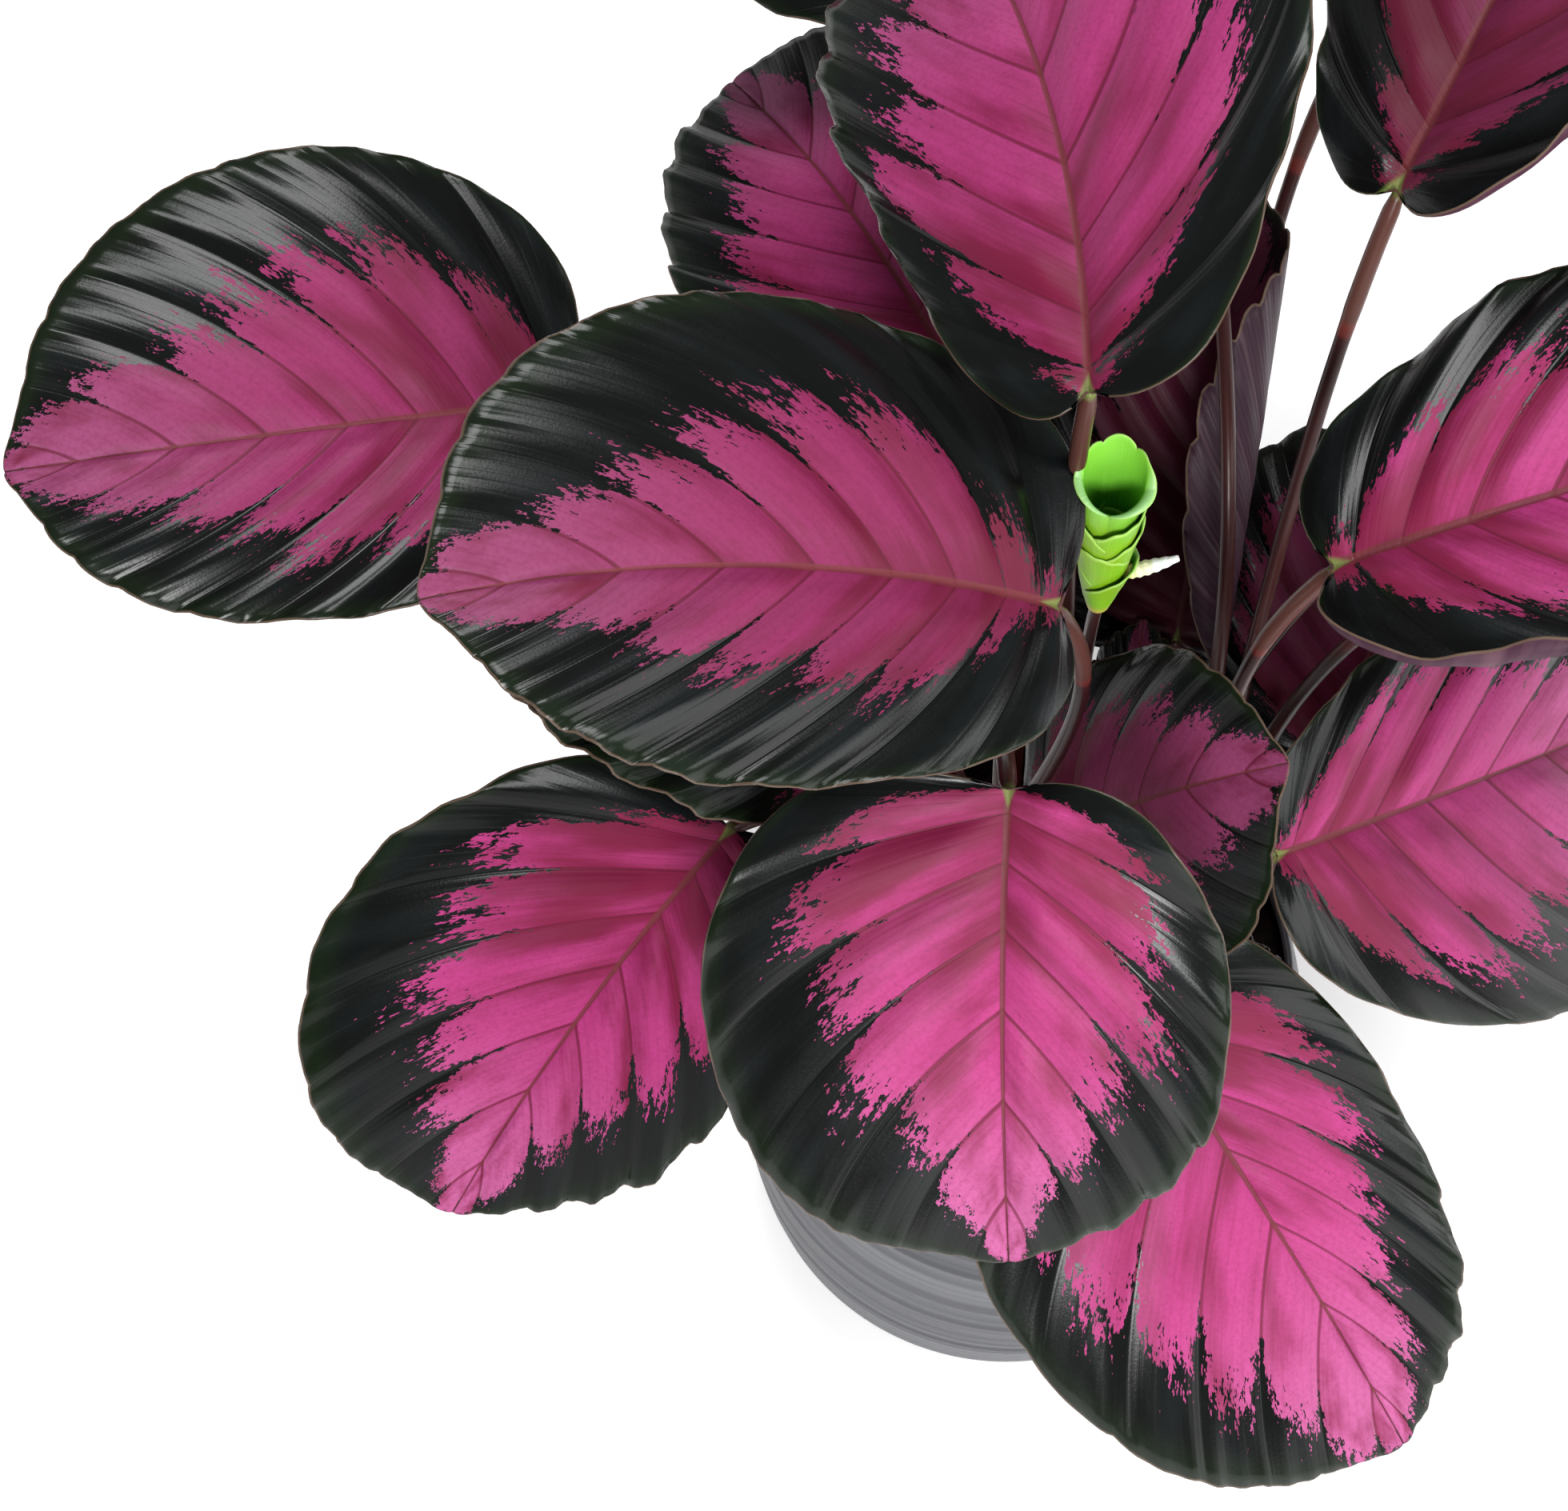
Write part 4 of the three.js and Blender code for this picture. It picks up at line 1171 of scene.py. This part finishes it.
class CALATHEA_OT_stage(bpy.types.Operator):
    """Makes the pale floor, the soft studio lights and the camera"""

    bl_idname = "calathea.stage"
    bl_label = "Stage"

    def execute(self, context):
        values = context.scene.calathea.stage
        half = 4000
        corners = [(-half, -half, 0), (half, -half, 0), (half, half, 0), (-half, half, 0)]
        floor = add_object("floor", corners, [(0, 1, 2, 3)])
        finish = Finish(
            "floor_paint", Roughness=0.9, Base_Color=(*values.floor, 1), Specular_IOR_Level=0.1,
            Emission_Color=(1, 1, 1, 1), Emission_Strength=0.2,
        )
        floor.data.materials.append(finish.material)
        world = bpy.data.worlds.new("studio")
        world.use_nodes = True
        sky = world.node_tree.nodes["Background"]
        sky.inputs["Color"].default_value = (1, 1, 1, 1)
        sky.inputs["Strength"].default_value = values.ambient
        context.scene.world = world
        context.scene.view_settings.view_transform = "Standard"
        middle = (0, 0.08, 0.2)
        add_light("key", (-0.4, 0.7, 2.3), middle, 1.1, values.key_power)
        add_light("front", (0.35, -2.3, 1.6), middle, 1.0, values.front_power)
        add_light("side", (2.0, -0.5, 1.6), middle, 1.6, values.side_power)
        add_light("low", (2.2, 0.4, 0.55), middle, 0.9, values.low_power)
        add_camera(values)
        return {"FINISHED"}


class CALATHEA_PT_panel(bpy.types.Panel):
    """Lists the pieces of the plant in the 3D view's sidebar"""

    bl_label = "Crimson calathea"
    bl_space_type = "VIEW_3D"
    bl_region_type = "UI"
    bl_category = "Calathea"

    def draw(self, context):
        for operator in OPERATORS:
            self.layout.operator(operator.bl_idname)
        values = context.scene.calathea
        for group in (values.pot, values.leaf, values.spike, values.stage):
            for name in group.__annotations__:
                self.layout.prop(group, name)


GROUPS = (PotProperties, LeafProperties, SpikeProperties, StageProperties, CalatheaProperties)
OPERATORS = (
    CALATHEA_OT_pot,
    CALATHEA_OT_soil,
    CALATHEA_OT_blades,
    CALATHEA_OT_stalks,
    CALATHEA_OT_spike,
    CALATHEA_OT_stage,
)


CLASSES = (*GROUPS, *OPERATORS, CALATHEA_PT_panel)


def register():
    for each in CLASSES:
        bpy.utils.register_class(each)
    bpy.types.Scene.calathea = bpy.props.PointerProperty(type=CalatheaProperties)


def unregister():
    del bpy.types.Scene.calathea
    for each in reversed(CLASSES):
        bpy.utils.unregister_class(each)


def main():
    register()
    bpy.ops.calathea.pot()
    bpy.ops.calathea.soil()
    bpy.ops.calathea.blades()
    bpy.ops.calathea.stalks()
    bpy.ops.calathea.spike()
    bpy.ops.calathea.stage()


if __name__ == "__main__":
    main()
